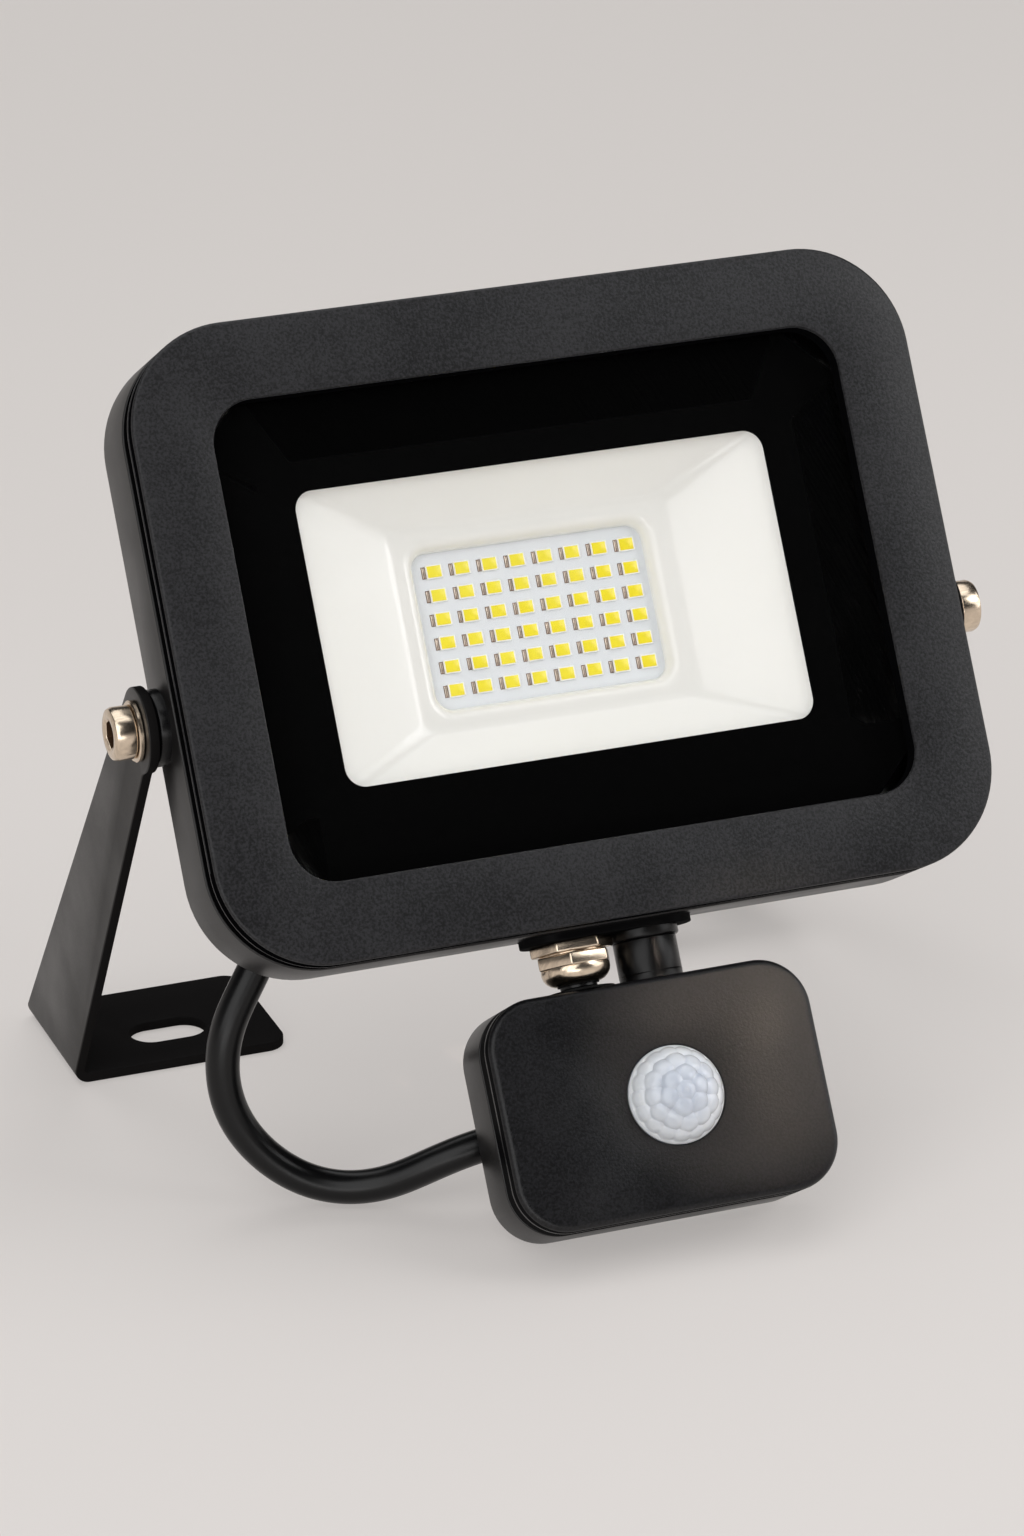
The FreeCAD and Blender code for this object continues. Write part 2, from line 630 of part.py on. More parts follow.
def gland_cap():
    """Hexagon cap that closes in a rounded nose round the cable."""
    base = Vector(GLAND_X, OUTLET_BACK, CAP_HEX_FACE)
    cap = hexagon(CAP_HEX_FLATS, CAP_HEX_THICK, base, Vector(0, 0, 1), CAP_HEX_TURN)
    dome = rod_z(CAP_DOME_RADIUS, CAP_FACE, CAP_TOP - 1, GLAND_X, OUTLET_BACK)
    dome = dome.makeFillet(CAP_DOME_EDGE, edges_where(dome, lambda p: abs(p.z - CAP_FACE) < 1e-4))
    hole = rod_z(LINK_RADIUS + GLAND_SEAL_WALL, CAP_FACE - 1, CAP_TOP + 1, GLAND_X, OUTLET_BACK)
    return cap.fuse(dome).cut(hole)


def gland_seal():
    """Rubber sleeve between the cap and the link cable."""
    low = CAP_FACE - GLAND_SEAL_PROUD
    seal = rod_z(LINK_RADIUS + GLAND_SEAL_WALL, low, CAP_TOP, GLAND_X, OUTLET_BACK)
    return seal.cut(rod_z(LINK_RADIUS, low - 1, CAP_TOP + 1, GLAND_X, OUTLET_BACK))


def link_cable():
    """Short straight cable from the gland into the top of the sensor head."""
    low = -SENSOR_TOP_DROP - PIN_BELOW_TOP + 1
    return rod_z(LINK_RADIUS, low, -HALF_BEZEL_Z + CASE_WALL, GLAND_X, OUTLET_BACK)


def post_collar():
    """Flanged ring that screws the post to the pad."""
    ring = rod_z(COLLAR_RADIUS, COLLAR_FACE, PAD_FACE, POST_X, OUTLET_BACK)
    return ring.cut(rod_z(GLAND_THREAD, COLLAR_FACE - 1, PAD_FACE + 1, POST_X, OUTLET_BACK))


def sensor_post():
    """Round post with a threaded top and a flat eyed tongue for the tilt pin."""
    shoulder = -SENSOR_TOP_DROP + POST_SHOULDER_GAP
    pin = -SENSOR_TOP_DROP - PIN_BELOW_TOP
    post = rod_z(POST_RADIUS, shoulder, COLLAR_FACE, POST_X, OUTLET_BACK)
    post = post.fuse(rod_z(GLAND_THREAD, COLLAR_FACE - 1, -HALF_BEZEL_Z + CASE_WALL, POST_X, OUTLET_BACK))
    half = TONGUE_THICK / 2
    tongue = block(POST_X - half, POST_X + half, OUTLET_BACK - TONGUE_RADIUS,
                   OUTLET_BACK + TONGUE_RADIUS, pin, shoulder + 1)
    tongue = tongue.fuse(rod_x(TONGUE_RADIUS, POST_X - half, POST_X + half, OUTLET_BACK, pin))
    post = post.fuse(tongue)
    hole = rod_x(TILT_PIN_RADIUS + TILT_PIN_FIT, POST_X - half - 1, POST_X + half + 1, OUTLET_BACK, pin)
    post = post.cut(hole).removeSplitter()
    post.rotate(Vector(POST_X, OUTLET_BACK, 0), Vector(0, 0, 1), SENSOR_TURN)
    return post


def inlet_gland():
    """Gland on the driver box where the supply cord goes in."""
    wall = -BOX_WIDTH / 2
    base = Vector(wall - INLET_HEX_THICK, INLET_BACK, -INLET_DOWN)
    gland = hexagon(INLET_HEX_FLATS, INLET_HEX_THICK, base, Vector(1, 0, 0))
    mouth = wall - INLET_HEX_THICK - INLET_NOSE_LENGTH
    nose = Part.makeCone(INLET_NOSE_RADIUS, INLET_NOSE_RADIUS - INLET_NOSE_TAPER, INLET_NOSE_LENGTH,
                         Vector(wall - INLET_HEX_THICK, INLET_BACK, -INLET_DOWN), Vector(-1, 0, 0))
    gland = gland.fuse(nose)
    gland = gland.fuse(rod_x(LINK_RADIUS + BUSH_WALL, wall, wall + BOX_WALL, INLET_BACK, -INLET_DOWN))
    return gland, Vector(mouth, INLET_BACK, -INLET_DOWN)


def left_leg():
    """Tapered arm and flat slotted foot, from one bent strip, about the pivot axis."""
    foot_front = FOOT_SETBACK
    foot_back = FOOT_SETBACK + FOOT_WIDTH
    low = -LEG_DROP
    knee = low + BEND_OUTER
    x = -LEG_OUTER

    def ear_point(y, z, side, radius):
        distance = math.hypot(y, z)
        angle = math.atan2(z, y) + side * math.acos(radius / distance)
        return Vector(x, radius * math.cos(angle), radius * math.sin(angle))

    corners = [Vector(x, foot_front, knee), Vector(x, foot_front, low),
               Vector(x, foot_back, low), Vector(x, foot_back, knee)]
    front = ear_point(foot_front, knee, -1, EAR_RADIUS - NECK_INSET)
    back = ear_point(foot_back, knee, 1, EAR_RADIUS)
    arm = Part.Face(Part.makePolygon([corners[0], front, Vector(x, 0, 0), back, corners[3], corners[2],
                                      corners[1], corners[0]]))
    side_view = arm.extrude(Vector(FOOT_LENGTH, 0, 0)).fuse(rod_x(EAR_RADIUS, x, x + FOOT_LENGTH, 0, 0))
    side_view = side_view.removeSplitter()
    run = math.sqrt(EAR_RADIUS ** 2 - (EAR_RADIUS - NECK_INSET) ** 2)
    neck = front.add(corners[0].sub(front).normalize().multiply(run))
    side_view = side_view.makeFillet(NECK_FILLET, edges_where(
        side_view, lambda p: abs(p.y - neck.y) < 1e-3 and abs(p.z - neck.z) < 1e-3))
    depth = 4 * foot_back
    strip = block(x, x + FOOT_LENGTH, -foot_back, depth - foot_back, low, EAR_RADIUS + 1)
    strip = strip.cut(block(x + LEG_THICK, x + FOOT_LENGTH + 1, -foot_back - 1, depth,
                            low + LEG_THICK, EAR_RADIUS + 2))
    strip = strip.makeFillet(BEND_OUTER, edges_where(
        strip, lambda p: abs(p.x - x) < 1e-4 and abs(p.z - low) < 1e-4))
    strip = strip.makeFillet(BEND_INNER, edges_where(
        strip, lambda p: abs(p.x - x - LEG_THICK) < 1e-4 and abs(p.z - low - LEG_THICK) < 1e-4))
    leg = strip.common(side_view)
    end = x + FOOT_LENGTH
    leg = leg.makeFillet(FOOT_CORNER, edges_where(
        leg, lambda p: abs(p.x - end) < 1e-4
        and (abs(p.y - foot_front) < 1e-4 or abs(p.y - foot_back) < 1e-4)))
    half = (SLOT_LENGTH - SLOT_WIDTH) / 2
    slot_x = x + SLOT_INSET
    slot_y = foot_front + SLOT_SETBACK
    slot = block(slot_x - half, slot_x + half, slot_y - SLOT_WIDTH / 2, slot_y + SLOT_WIDTH / 2,
                 low - 1, low + LEG_THICK + 1)
    for offset in (-half, half):
        slot = slot.fuse(rod_z(SLOT_WIDTH / 2, low - 1, low + LEG_THICK + 1, slot_x + offset, slot_y))
    leg = leg.cut(slot)
    return leg.cut(rod_x(PIVOT_SHANK + PIVOT_FIT, x - 1, x + LEG_THICK + 1, 0, 0))


def sensor_slab(inset, y0, y1):
    """The head's rounded outline, inset all round, between two depths behind its face."""
    top = PIN_BELOW_TOP
    return slab(SENSOR_WIDTH - 2 * inset, SENSOR_HEIGHT - 2 * inset, SENSOR_CORNER - inset,
                y0 - PIN_BEHIND_FACE, y1 - PIN_BEHIND_FACE, SENSOR_SHIFT, top - SENSOR_HEIGHT / 2)


def head_point(x, back, down):
    """A point of the sensor head from its middle line, its face and its top."""
    return Vector(SENSOR_SHIFT + x, back - PIN_BEHIND_FACE, PIN_BELOW_TOP - down)


def link_hole_place():
    """Where the link cable enters the head, in the head's own turned frame."""
    turn = math.radians(-SENSOR_TURN)
    reach = GLAND_X - POST_X
    return reach * math.cos(turn), reach * math.sin(turn)


def entry_cuts(extra=0.0):
    """Openings in the top for the post's tongue and for the link cable, about the pin."""
    swing = math.radians(TILT_RANGE)
    half_y = TONGUE_RADIUS / math.cos(swing) + PIN_BELOW_TOP * math.tan(swing) + EAR_PLATE_GAP
    half_x = TONGUE_THICK / 2 + EAR_PLATE_GAP
    tongue = block(-half_x, half_x, -half_y, half_y, 0, PIN_BELOW_TOP + 1)
    hole = LINK_RADIUS + LINK_SWING_ROOM + extra
    link = rod_z(hole, 0, PIN_BELOW_TOP + 1, *link_hole_place())
    return tongue, link


def sensor_front_cover():
    """Front shell of the sensor head with the round hole for the lens."""
    cover = sensor_slab(0, 0, COVER_DEPTH)
    cover = rounded_at_y(cover, -PIN_BEHIND_FACE, SENSOR_EDGE)
    cover = cover.cut(sensor_slab(SENSOR_WALL, SENSOR_WALL, COVER_DEPTH + 1))
    hole = head_point(LENS_X, 0, LENS_DOWN)
    cover = cover.cut(rod_y(LENS_RADIUS + LENS_HOLE_PLAY, hole.y - 1, hole.y + SENSOR_WALL + 1, hole.x, hole.z))
    tongue, link = entry_cuts(GROMMET_WALL)
    cover = cover.cut(tongue).cut(link)
    for x, z in sensor_screw_places():
        p = head_point(x, SENSOR_WALL - 0.5, SENSOR_HEIGHT / 2 - z)
        post = rod_y(SENSOR_SCREW_RADIUS + SENSOR_SCREW_WALL, p.y, p.y + COVER_DEPTH - SENSOR_WALL + 0.5, p.x, p.z)
        post = post.cut(rod_y(SENSOR_SCREW_RADIUS, p.y + 2, p.y + COVER_DEPTH, p.x, p.z))
        cover = cover.fuse(post)
    return cover.removeSplitter()


def sensor_rear_shell():
    """Rear shell with the pin's two ear plates, board posts and the hood over the cord inlet."""
    front = COVER_DEPTH + COVER_JOINT_GAP
    shell = sensor_slab(0, front, SENSOR_THICK)
    shell = rounded_at_y(shell, SENSOR_THICK - PIN_BEHIND_FACE, SENSOR_REAR_EDGE)
    hood = head_point(-SENSOR_WIDTH / 2 + HOOD_END_INSET, SENSOR_THICK + HOOD_BACK, HOOD_DOWN)
    x1 = hood.x + HOOD_LENGTH
    arch = rod_x(HOOD_RADIUS, hood.x, x1, hood.y, hood.z)
    arch = arch.fuse(block(hood.x, x1, hood.y - HOOD_BACK - 1, hood.y,
                           hood.z - HOOD_RADIUS, hood.z + HOOD_RADIUS))
    shell = shell.fuse(arch)
    cavity = sensor_slab(SENSOR_WALL, front - 1, SENSOR_THICK - SENSOR_WALL)
    shell = shell.cut(cavity)
    bore = rod_x(CORD_RADIUS + BUSH_WALL, hood.x - 1, hood.x + BUSH_DEPTH, hood.y, hood.z)
    shell = shell.cut(bore)
    lip = sensor_slab(SENSOR_WALL, COVER_DEPTH - SENSOR_LIP, front + 1)
    lip = lip.cut(sensor_slab(SENSOR_WALL + SENSOR_LIP, 0, SENSOR_THICK))
    shell = shell.fuse(lip)
    tongue, link = entry_cuts(GROMMET_WALL)
    shell = shell.cut(tongue).cut(link)
    for side in (-1, 1):
        inner = side * (TONGUE_THICK / 2 + EAR_PLATE_GAP)
        outer = inner + side * EAR_PLATE
        low = min(inner, outer)
        plate = block(low, low + EAR_PLATE, -TONGUE_RADIUS, SENSOR_THICK - PIN_BEHIND_FACE - SENSOR_WALL + 0.5,
                      -TONGUE_RADIUS, PIN_BELOW_TOP - SENSOR_WALL - EAR_TOP_GAP)
        plate = plate.cut(rod_x(TILT_PIN_RADIUS, low - 1, low + EAR_PLATE + 1, 0, 0))
        shell = shell.fuse(plate)
    for x, z in sensor_screw_places():
        p = head_point(x, front, SENSOR_HEIGHT / 2 - z)
        back = SENSOR_THICK - PIN_BEHIND_FACE
        shell = shell.fuse(rod_y(SENSOR_SCREW_HEAD + 1.2, p.y, back - 0.5, p.x, p.z))
        shell = shell.cut(rod_y(SENSOR_SCREW_RADIUS + 0.05, p.y - 1, back + 1, p.x, p.z))
        shell = shell.cut(rod_y(SENSOR_SCREW_HEAD + 0.1, back - SENSOR_SCREW_HEAD_THICK, back + 1, p.x, p.z))
    return shell.removeSplitter()


def sensor_screws():
    """Four small screws in the back of the sensor head."""
    screws = []
    for x, z in sensor_screw_places():
        p = head_point(x, SENSOR_THICK - SENSOR_SCREW_HEAD_THICK, SENSOR_HEIGHT / 2 - z)
        head = rod_y(SENSOR_SCREW_HEAD, p.y, p.y + SENSOR_SCREW_HEAD_THICK, p.x, p.z)
        shank = rod_y(SENSOR_SCREW_RADIUS, head_point(0, SENSOR_WALL + 2, 0).y, p.y, p.x, p.z)
        arm, half = CROSS_SLOT_REACH, CROSS_SLOT_WIDTH / 2
        seat = p.y + SENSOR_SCREW_HEAD_THICK - CROSS_SLOT_DEPTH
        cross = block(p.x - arm, p.x + arm, seat, seat + 3, p.z - half, p.z + half)
        cross = cross.fuse(block(p.x - half, p.x + half, seat, seat + 3, p.z - arm, p.z + arm))
        screws.append(head.fuse(shank).cut(cross))
    return Part.makeCompound(screws)


def lens_dome():
    """Thin bulged lens with a flange that seats behind the front cover."""
    centre = head_point(LENS_X, 0, LENS_DOWN)
    curve = (LENS_RADIUS ** 2 + LENS_RISE ** 2) / (2 * LENS_RISE)

    def cap(radius, rise):
        ball = Part.makeSphere(radius, Vector(centre.x, centre.y - rise + radius, centre.z))
        keep = rod_y(LENS_RADIUS + 5, centre.y - 2 * radius, centre.y + 0.01, centre.x, centre.z)
        return ball.common(keep)

    dome = cap(curve, LENS_RISE)
    barrel = rod_y(LENS_RADIUS, centre.y, centre.y + SENSOR_WALL, centre.x, centre.z)
    flange = rod_y(LENS_RADIUS + LENS_FLANGE, centre.y + SENSOR_WALL,
                   centre.y + SENSOR_WALL + LENS_SKIN, centre.x, centre.z)
    lens = dome.fuse(barrel).fuse(flange)
    lens = lens.cut(cap(curve - LENS_SKIN, LENS_RISE - LENS_SKIN))
    bore = rod_y(LENS_RADIUS - LENS_SKIN, centre.y, centre.y + 2 * SENSOR_WALL, centre.x, centre.z)
    return lens.cut(bore)


def sensor_board():
    """Circuit board behind the lens, on two posts from the back wall."""
    centre = head_point(0, SENSOR_BOARD_BACK, SENSOR_BOARD_DOWN)
    board = slab(SENSOR_BOARD_WIDTH, SENSOR_BOARD_HEIGHT, BOARD_CORNER, centre.y,
                 centre.y + SENSOR_BOARD_THICK, centre.x, centre.z)
    back = SENSOR_THICK - PIN_BEHIND_FACE - SENSOR_WALL
    for side in (-1, 1):
        board = board.fuse(rod_y(STANDOFF_RADIUS, centre.y + PART_SINK, back,
                                 centre.x + side * SENSOR_BOARD_WIDTH / 3, centre.z))
    x = centre.x + RELAY_SHIFT
    relay = block(x - RELAY[0] / 2, x + RELAY[0] / 2, centre.y - RELAY[1], centre.y + PART_SINK,
                  centre.z - RELAY[2] / 2, centre.z + RELAY[2] / 2)
    return board.fuse(relay).removeSplitter()


def pir_element():
    """Round metal can with its square window, on the board behind the lens."""
    centre = head_point(LENS_X, SENSOR_BOARD_BACK, LENS_DOWN)
    can = rod_y(PIR_CAN_RADIUS, centre.y - PIR_CAN_HEIGHT, centre.y, centre.x, centre.z)
    can = can.fuse(rod_y(PIR_CAN_RADIUS + PIR_RIM, centre.y - PIR_RIM, centre.y, centre.x, centre.z))
    half = PIR_CAN_RADIUS / 2
    window = block(centre.x - half, centre.x + half, centre.y - PIR_CAN_HEIGHT - 1,
                   centre.y - PIR_CAN_HEIGHT + PIR_RIM / 2, centre.z - half, centre.z + half)
    return can.cut(window)


def tilt_pin():
    """Cross pin through the ear plates and the post's eye."""
    half = TONGUE_THICK / 2 + EAR_PLATE_GAP + EAR_PLATE
    return rod_x(TILT_PIN_RADIUS, -half, half, 0, 0)


def link_grommet():
    """Rubber ring round the link cable's opening in the head's top."""
    place = link_hole_place()
    bore = LINK_RADIUS + LINK_SWING_ROOM
    top = PIN_BELOW_TOP
    ring = rod_z(bore + GROMMET_WALL, top - SENSOR_WALL, top + GROMMET_PROUD, *place)
    ring = ring.fuse(rod_z(bore + GROMMET_WALL + GROMMET_LIP, top, top + GROMMET_PROUD, *place))
    return ring.cut(rod_z(bore, 0, top + 2, *place))


def cord_bush():
    """Rubber bush that grips the cord in the mouth of the hood."""
    hood = head_point(-SENSOR_WIDTH / 2 + HOOD_END_INSET, SENSOR_THICK + HOOD_BACK, HOOD_DOWN)
    mouth = hood.x - BUSH_PROUD
    bush = rod_x(CORD_RADIUS + BUSH_WALL - BUSH_FIT, mouth, hood.x + BUSH_DEPTH, hood.y, hood.z)
    return bush, Vector(mouth, hood.y, hood.z)


def cord_path(points):
    """Straight runs joined by tangent arcs, each as large as its two runs allow."""
    pieces = []
    radii = []
    start = points[0]
    for before, corner, after in zip(points, points[1:], points[2:]):
        run_in = corner.sub(before)
        run_out = after.sub(corner)
        turn = run_in.getAngle(run_out)
        setback = 0.45 * min(run_in.Length, run_out.Length)
        radius = setback / math.tan(turn / 2)
        radii.append(radius)
        a = corner.sub(Vector(run_in).normalize().multiply(setback))
        b = corner.add(Vector(run_out).normalize().multiply(setback))
        inward = Vector(run_out).normalize().sub(Vector(run_in).normalize()).normalize()
        middle = corner.add(inward.multiply(radius * (1 / math.cos(turn / 2) - 1)))
        pieces.append(Part.LineSegment(start, a).toShape())
        pieces.append(Part.Arc(a, middle, b).toShape())
        start = b
    pieces.append(Part.LineSegment(start, points[-1]).toShape())
    return Part.Wire(pieces), radii


def supply_cord(points):
    """The cord's tube from the inlet on the lamp's back to the sensor's hood."""
    path, radii = cord_path(points)
    first = points[1].sub(points[0])
    section = Part.Wire(Part.makeCircle(CORD_RADIUS, points[0], first))
    tube = path.makePipeShell([section], True, False)
    print("cord length", round(path.Length, 1), "radii", [round(r, 1) for r in radii])
    ratio = tube.Volume / (math.pi * CORD_RADIUS ** 2 * path.Length)
    print("cord volume over section times length", round(ratio, 4))
    return tube


def stand_angle(head):
    """Angle at which the lamp leans back until the head's lower rear edge meets the surface."""
    fillet = SENSOR_REAR_EDGE
    corner = head_point(-SENSOR_WIDTH / 2 + SENSOR_CORNER, SENSOR_THICK - fillet, SENSOR_HEIGHT - fillet)
    p = head.multVec(corner).sub(Vector(0, PIVOT_BACK, -PIVOT_DROP))
    reach = math.hypot(p.y, p.z)
    return math.degrees(math.atan2(p.y, -p.z) + math.acos((LEG_DROP - fillet) / reach))


def build():
    head = Placement(Vector(POST_X, OUTLET_BACK, -SENSOR_TOP_DROP - PIN_BELOW_TOP),
                     Rotation(Vector(0, 0, 1), SENSOR_TURN).multiply(Rotation(Vector(1, 0, 0), SENSOR_TILT)))
    lean = stand_angle(head)
    pivot = Vector(0, PIVOT_BACK, -PIVOT_DROP)
    stand = Placement(Vector(0, 0, LEG_DROP), Rotation(Vector(1, 0, 0), -lean))
    lamp = stand.multiply(Placement(pivot.negative(), Rotation()))
    sensor = lamp.multiply(head)
    inlet, inlet_mouth = inlet_gland()
    bush, bush_mouth = cord_bush()
    left = left_leg()
    right = left.mirror(Vector(0, 0, 0), Vector(1, 0, 0))
    leg = Placement(Vector(0, 0, LEG_DROP), Rotation())
    swung = Placement(Vector(0, 0, LEG_DROP), Rotation(Vector(1, 0, 0), RIGHT_LEG_SWING))

    nodes = {}
    for make in (rear_housing, front_bezel, bezel_gasket, glass, glass_mask, reflector, led_board,
                 led_packages, led_phosphors, driver_board, driver_lid, lid_screws, case_screws,
                 pivot_screws, pivot_washers, gland_body, gland_cap, gland_seal, link_cable,
                 post_collar, sensor_post):
        nodes[make.__name__] = (make(), lamp)
    nodes["inlet_gland"] = (inlet, lamp)
    nodes["left_leg"] = (left, leg)
    nodes["right_leg"] = (right, swung)
    for make in (sensor_front_cover, sensor_rear_shell, sensor_screws, lens_dome, sensor_board,
                 pir_element, tilt_pin, link_grommet):
        nodes[make.__name__] = (make(), sensor)
    nodes["cord_bush"] = (bush, sensor)

    placed = {}
    for name, (shape, place) in nodes.items():
        shape = shape.copy()
        shape.Placement = place.multiply(shape.Placement)
        placed[name] = shape
    axis = sensor.Rotation.multVec(Vector(1, 0, 0))
    start = lamp.multVec(inlet_mouth)
    end = sensor.multVec(bush_mouth)
    route = [start, start.sub(Vector(CORD_LEAD_OUT, 0, 0))]
    route += [Vector(*p) for p in CORD_LOOP]
    route += [end.sub(Vector(axis).multiply(CORD_LEAD_IN)), end]
    cord = supply_cord(route)
    print("cord route", [tuple(round(c, 2) for c in p) for p in route])

    box = Part.makeCompound(list(placed.values())).optimalBoundingBox()
    centre = Vector(-(box.XMin + box.XMax) / 2, -(box.YMin + box.YMax) / 2, -box.ZMin)
    print("lean", round(lean, 3), "shift", centre)
    print("pivot", Vector(0, 0, LEG_DROP).add(centre), "tilt pin", sensor.Base.add(centre), "axis", axis)
    placed["supply_cord"] = cord
    for shape in placed.values():
        shape.translate(centre)
    return placed


def main():
    os.makedirs(OUT, exist_ok=True)
    for name, shape in build().items():
        solids = len(shape.Solids)
        print(name, solids, round(shape.Volume / 1000, 2), "cm3", "valid" if shape.isValid() else "NOT VALID")
        shape.exportStep(os.path.join(OUT, name + ".step"))


main()
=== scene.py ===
# %% [markdown]
# A floodlight on two bracket legs, with a motion sensor that hangs under it on a short post.
# The packed solids come in as a fixed frame, which is never moved. This script adds light, finishes
# and the fine forms that the solids leave out. Blender works in metres, but sizes like these read
# better in millimetres, so they are written that way and multiplied by MM.

# %% Load the frame
import bmesh
import bpy
import json
import math
from mathutils import Matrix, Vector


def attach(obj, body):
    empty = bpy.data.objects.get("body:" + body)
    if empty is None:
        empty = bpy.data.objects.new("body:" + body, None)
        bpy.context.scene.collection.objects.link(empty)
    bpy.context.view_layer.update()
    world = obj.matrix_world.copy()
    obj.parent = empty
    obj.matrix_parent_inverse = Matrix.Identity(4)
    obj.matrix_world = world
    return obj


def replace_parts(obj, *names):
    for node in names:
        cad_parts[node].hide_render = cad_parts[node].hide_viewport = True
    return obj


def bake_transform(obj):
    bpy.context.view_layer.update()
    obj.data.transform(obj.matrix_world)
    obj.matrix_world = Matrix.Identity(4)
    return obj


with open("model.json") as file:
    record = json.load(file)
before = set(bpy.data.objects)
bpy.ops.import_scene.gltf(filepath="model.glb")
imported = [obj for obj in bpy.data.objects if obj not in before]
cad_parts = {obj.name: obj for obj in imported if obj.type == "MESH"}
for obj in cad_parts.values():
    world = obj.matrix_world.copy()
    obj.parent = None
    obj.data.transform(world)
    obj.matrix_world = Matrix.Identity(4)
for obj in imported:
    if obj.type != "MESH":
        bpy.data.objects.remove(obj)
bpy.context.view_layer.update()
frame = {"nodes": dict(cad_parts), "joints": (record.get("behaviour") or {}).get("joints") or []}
nodes = frame["nodes"]
joints = {j["name"]: j for j in frame["joints"]}
MM = 0.001

# %% [markdown]
# The lamp leans back on its legs, and the sensor has its own small turn and tilt. Modelling at those
# angles would be hard to read, so each gets a frame of its own in which it stands upright, and a
# form is placed only when it is done. Both frames are read from the solids: the largest flat face
# gives the lean, and a joint gives the place.

# %% Find the lamp's and the sensor's own frames
def widest_normal(name, towards):
    """Normal of a node's largest flat face on the side that looks along a direction."""
    faces = [f for f in nodes[name].data.polygons if f.normal.dot(towards) > 0.5]
    return max(faces, key=lambda f: f.area).normal.copy()


FORWARD_AND_UP = Vector((0, -1, 0.3))
PIVOT = Vector(joints["left_leg_swing"]["pos_m"])
PIVOT_BACK, PIVOT_DROP = 21.5 * MM, 12.5 * MM
lamp_front = widest_normal("glass", FORWARD_AND_UP)
LEAN = math.atan2(lamp_front.z, -lamp_front.y)
LAMP = (Matrix.Translation(PIVOT) @ Matrix.Rotation(-LEAN, 4, "X")
        @ Matrix.Translation((0, -PIVOT_BACK, PIVOT_DROP)))

PIN = Vector(joints["sensor_tilt"]["pos_m"])
side = Vector(joints["sensor_tilt"]["axis"]).normalized()
sensor_front = widest_normal("sensor_front_cover", FORWARD_AND_UP)
back = -sensor_front
up = side.cross(back)
SENSOR = Matrix.Translation(PIN) @ Matrix((side, back, up)).transposed().to_4x4()
print("lean", round(math.degrees(LEAN), 2), "degrees; sensor pin at", [round(c, 4) for c in PIN])

# %% [markdown]
# The camera stands to the left of the object and above it. A near camera would bulge the casing, so
# it stands well back with a long lens, which keeps the proportions. Its place was worked out from
# corners and screws of the casing that show in the view.

# %% Camera
TURN, DOWN = math.radians(21.02), math.radians(23.98)
DISTANCE, SHIFT_X, SHIFT_Z = 1368.12 * MM, 13.28 * MM, 38.71 * MM
FOCAL_PIXELS, FRAME_HEIGHT = 5996.9, 1536
FILM = 36.0
face_centre = LAMP @ Vector((0, 0, 0))
look = Matrix.Rotation(DOWN, 3, "X") @ Matrix.Rotation(TURN, 3, "Z")
right, forward, above = look
eye = face_centre - look.transposed() @ Vector((SHIFT_X, DISTANCE, SHIFT_Z))
camera = bpy.data.objects.new("camera", bpy.data.cameras.new("camera"))
bpy.context.scene.collection.objects.link(camera)
camera.data.sensor_width = FILM
camera.data.lens = FILM * FOCAL_PIXELS / FRAME_HEIGHT
camera.matrix_world = Matrix.Translation(eye) @ Matrix((right, above, -forward)).transposed().to_4x4()
camera.data.clip_end = 30
bpy.context.scene.camera = camera
print("camera at", [round(c, 3) for c in eye], "lens", round(camera.data.lens, 1))

# %% [markdown]
# The supply cord leaves a gland on the back of the lamp, hangs in a loose loop just above the surface, and
# ends in a bush on the side of the sensor's rear hood. A curve with a round section gives a smooth tube
# from a few chosen points. It can't bend with a joint, though, so it is turned into a mesh, which stays
# fixed in place and rides no body.

# %% Helpers for the cord
def guided_curve(name, points, thickness):
    """Smooth curve guided by the points, with a round section where thickness isn't 0."""
    curve = bpy.data.curves.new(name, "CURVE")
    curve.dimensions = "3D"
    curve.resolution_u = 16
    curve.bevel_depth = thickness / 2
    curve.bevel_resolution = 8
    curve.use_fill_caps = True
    line = curve.splines.new("NURBS")
    line.points.add(len(points) - 1)
    for point, target in zip(line.points, points):
        point.co = (*target, 1)
    line.order_u = 4
    line.use_endpoint_u = True
    shape = bpy.data.objects.new(name, curve)
    bpy.context.scene.collection.objects.link(shape)
    return shape


def as_mesh(shape):
    """The curve's mesh as an object of its own; the curve is removed."""
    bpy.context.view_layer.update()
    found = bpy.data.meshes.new_from_object(shape.evaluated_get(bpy.context.evaluated_depsgraph_get()))
    name = shape.name
    bpy.data.objects.remove(shape)
    made = bpy.data.objects.new(name, found)
    bpy.context.scene.collection.objects.link(made)
    return made


def cord_place(x, y, z):
    """A place in mm, from the middle of the floor right below the legs' pivot axis."""
    return Vector((0, PIVOT.y, 0)) + Vector((x, y, z)) * MM


print("the cord's places start from", [round(c, 4) for c in cord_place(0, 0, 0)])

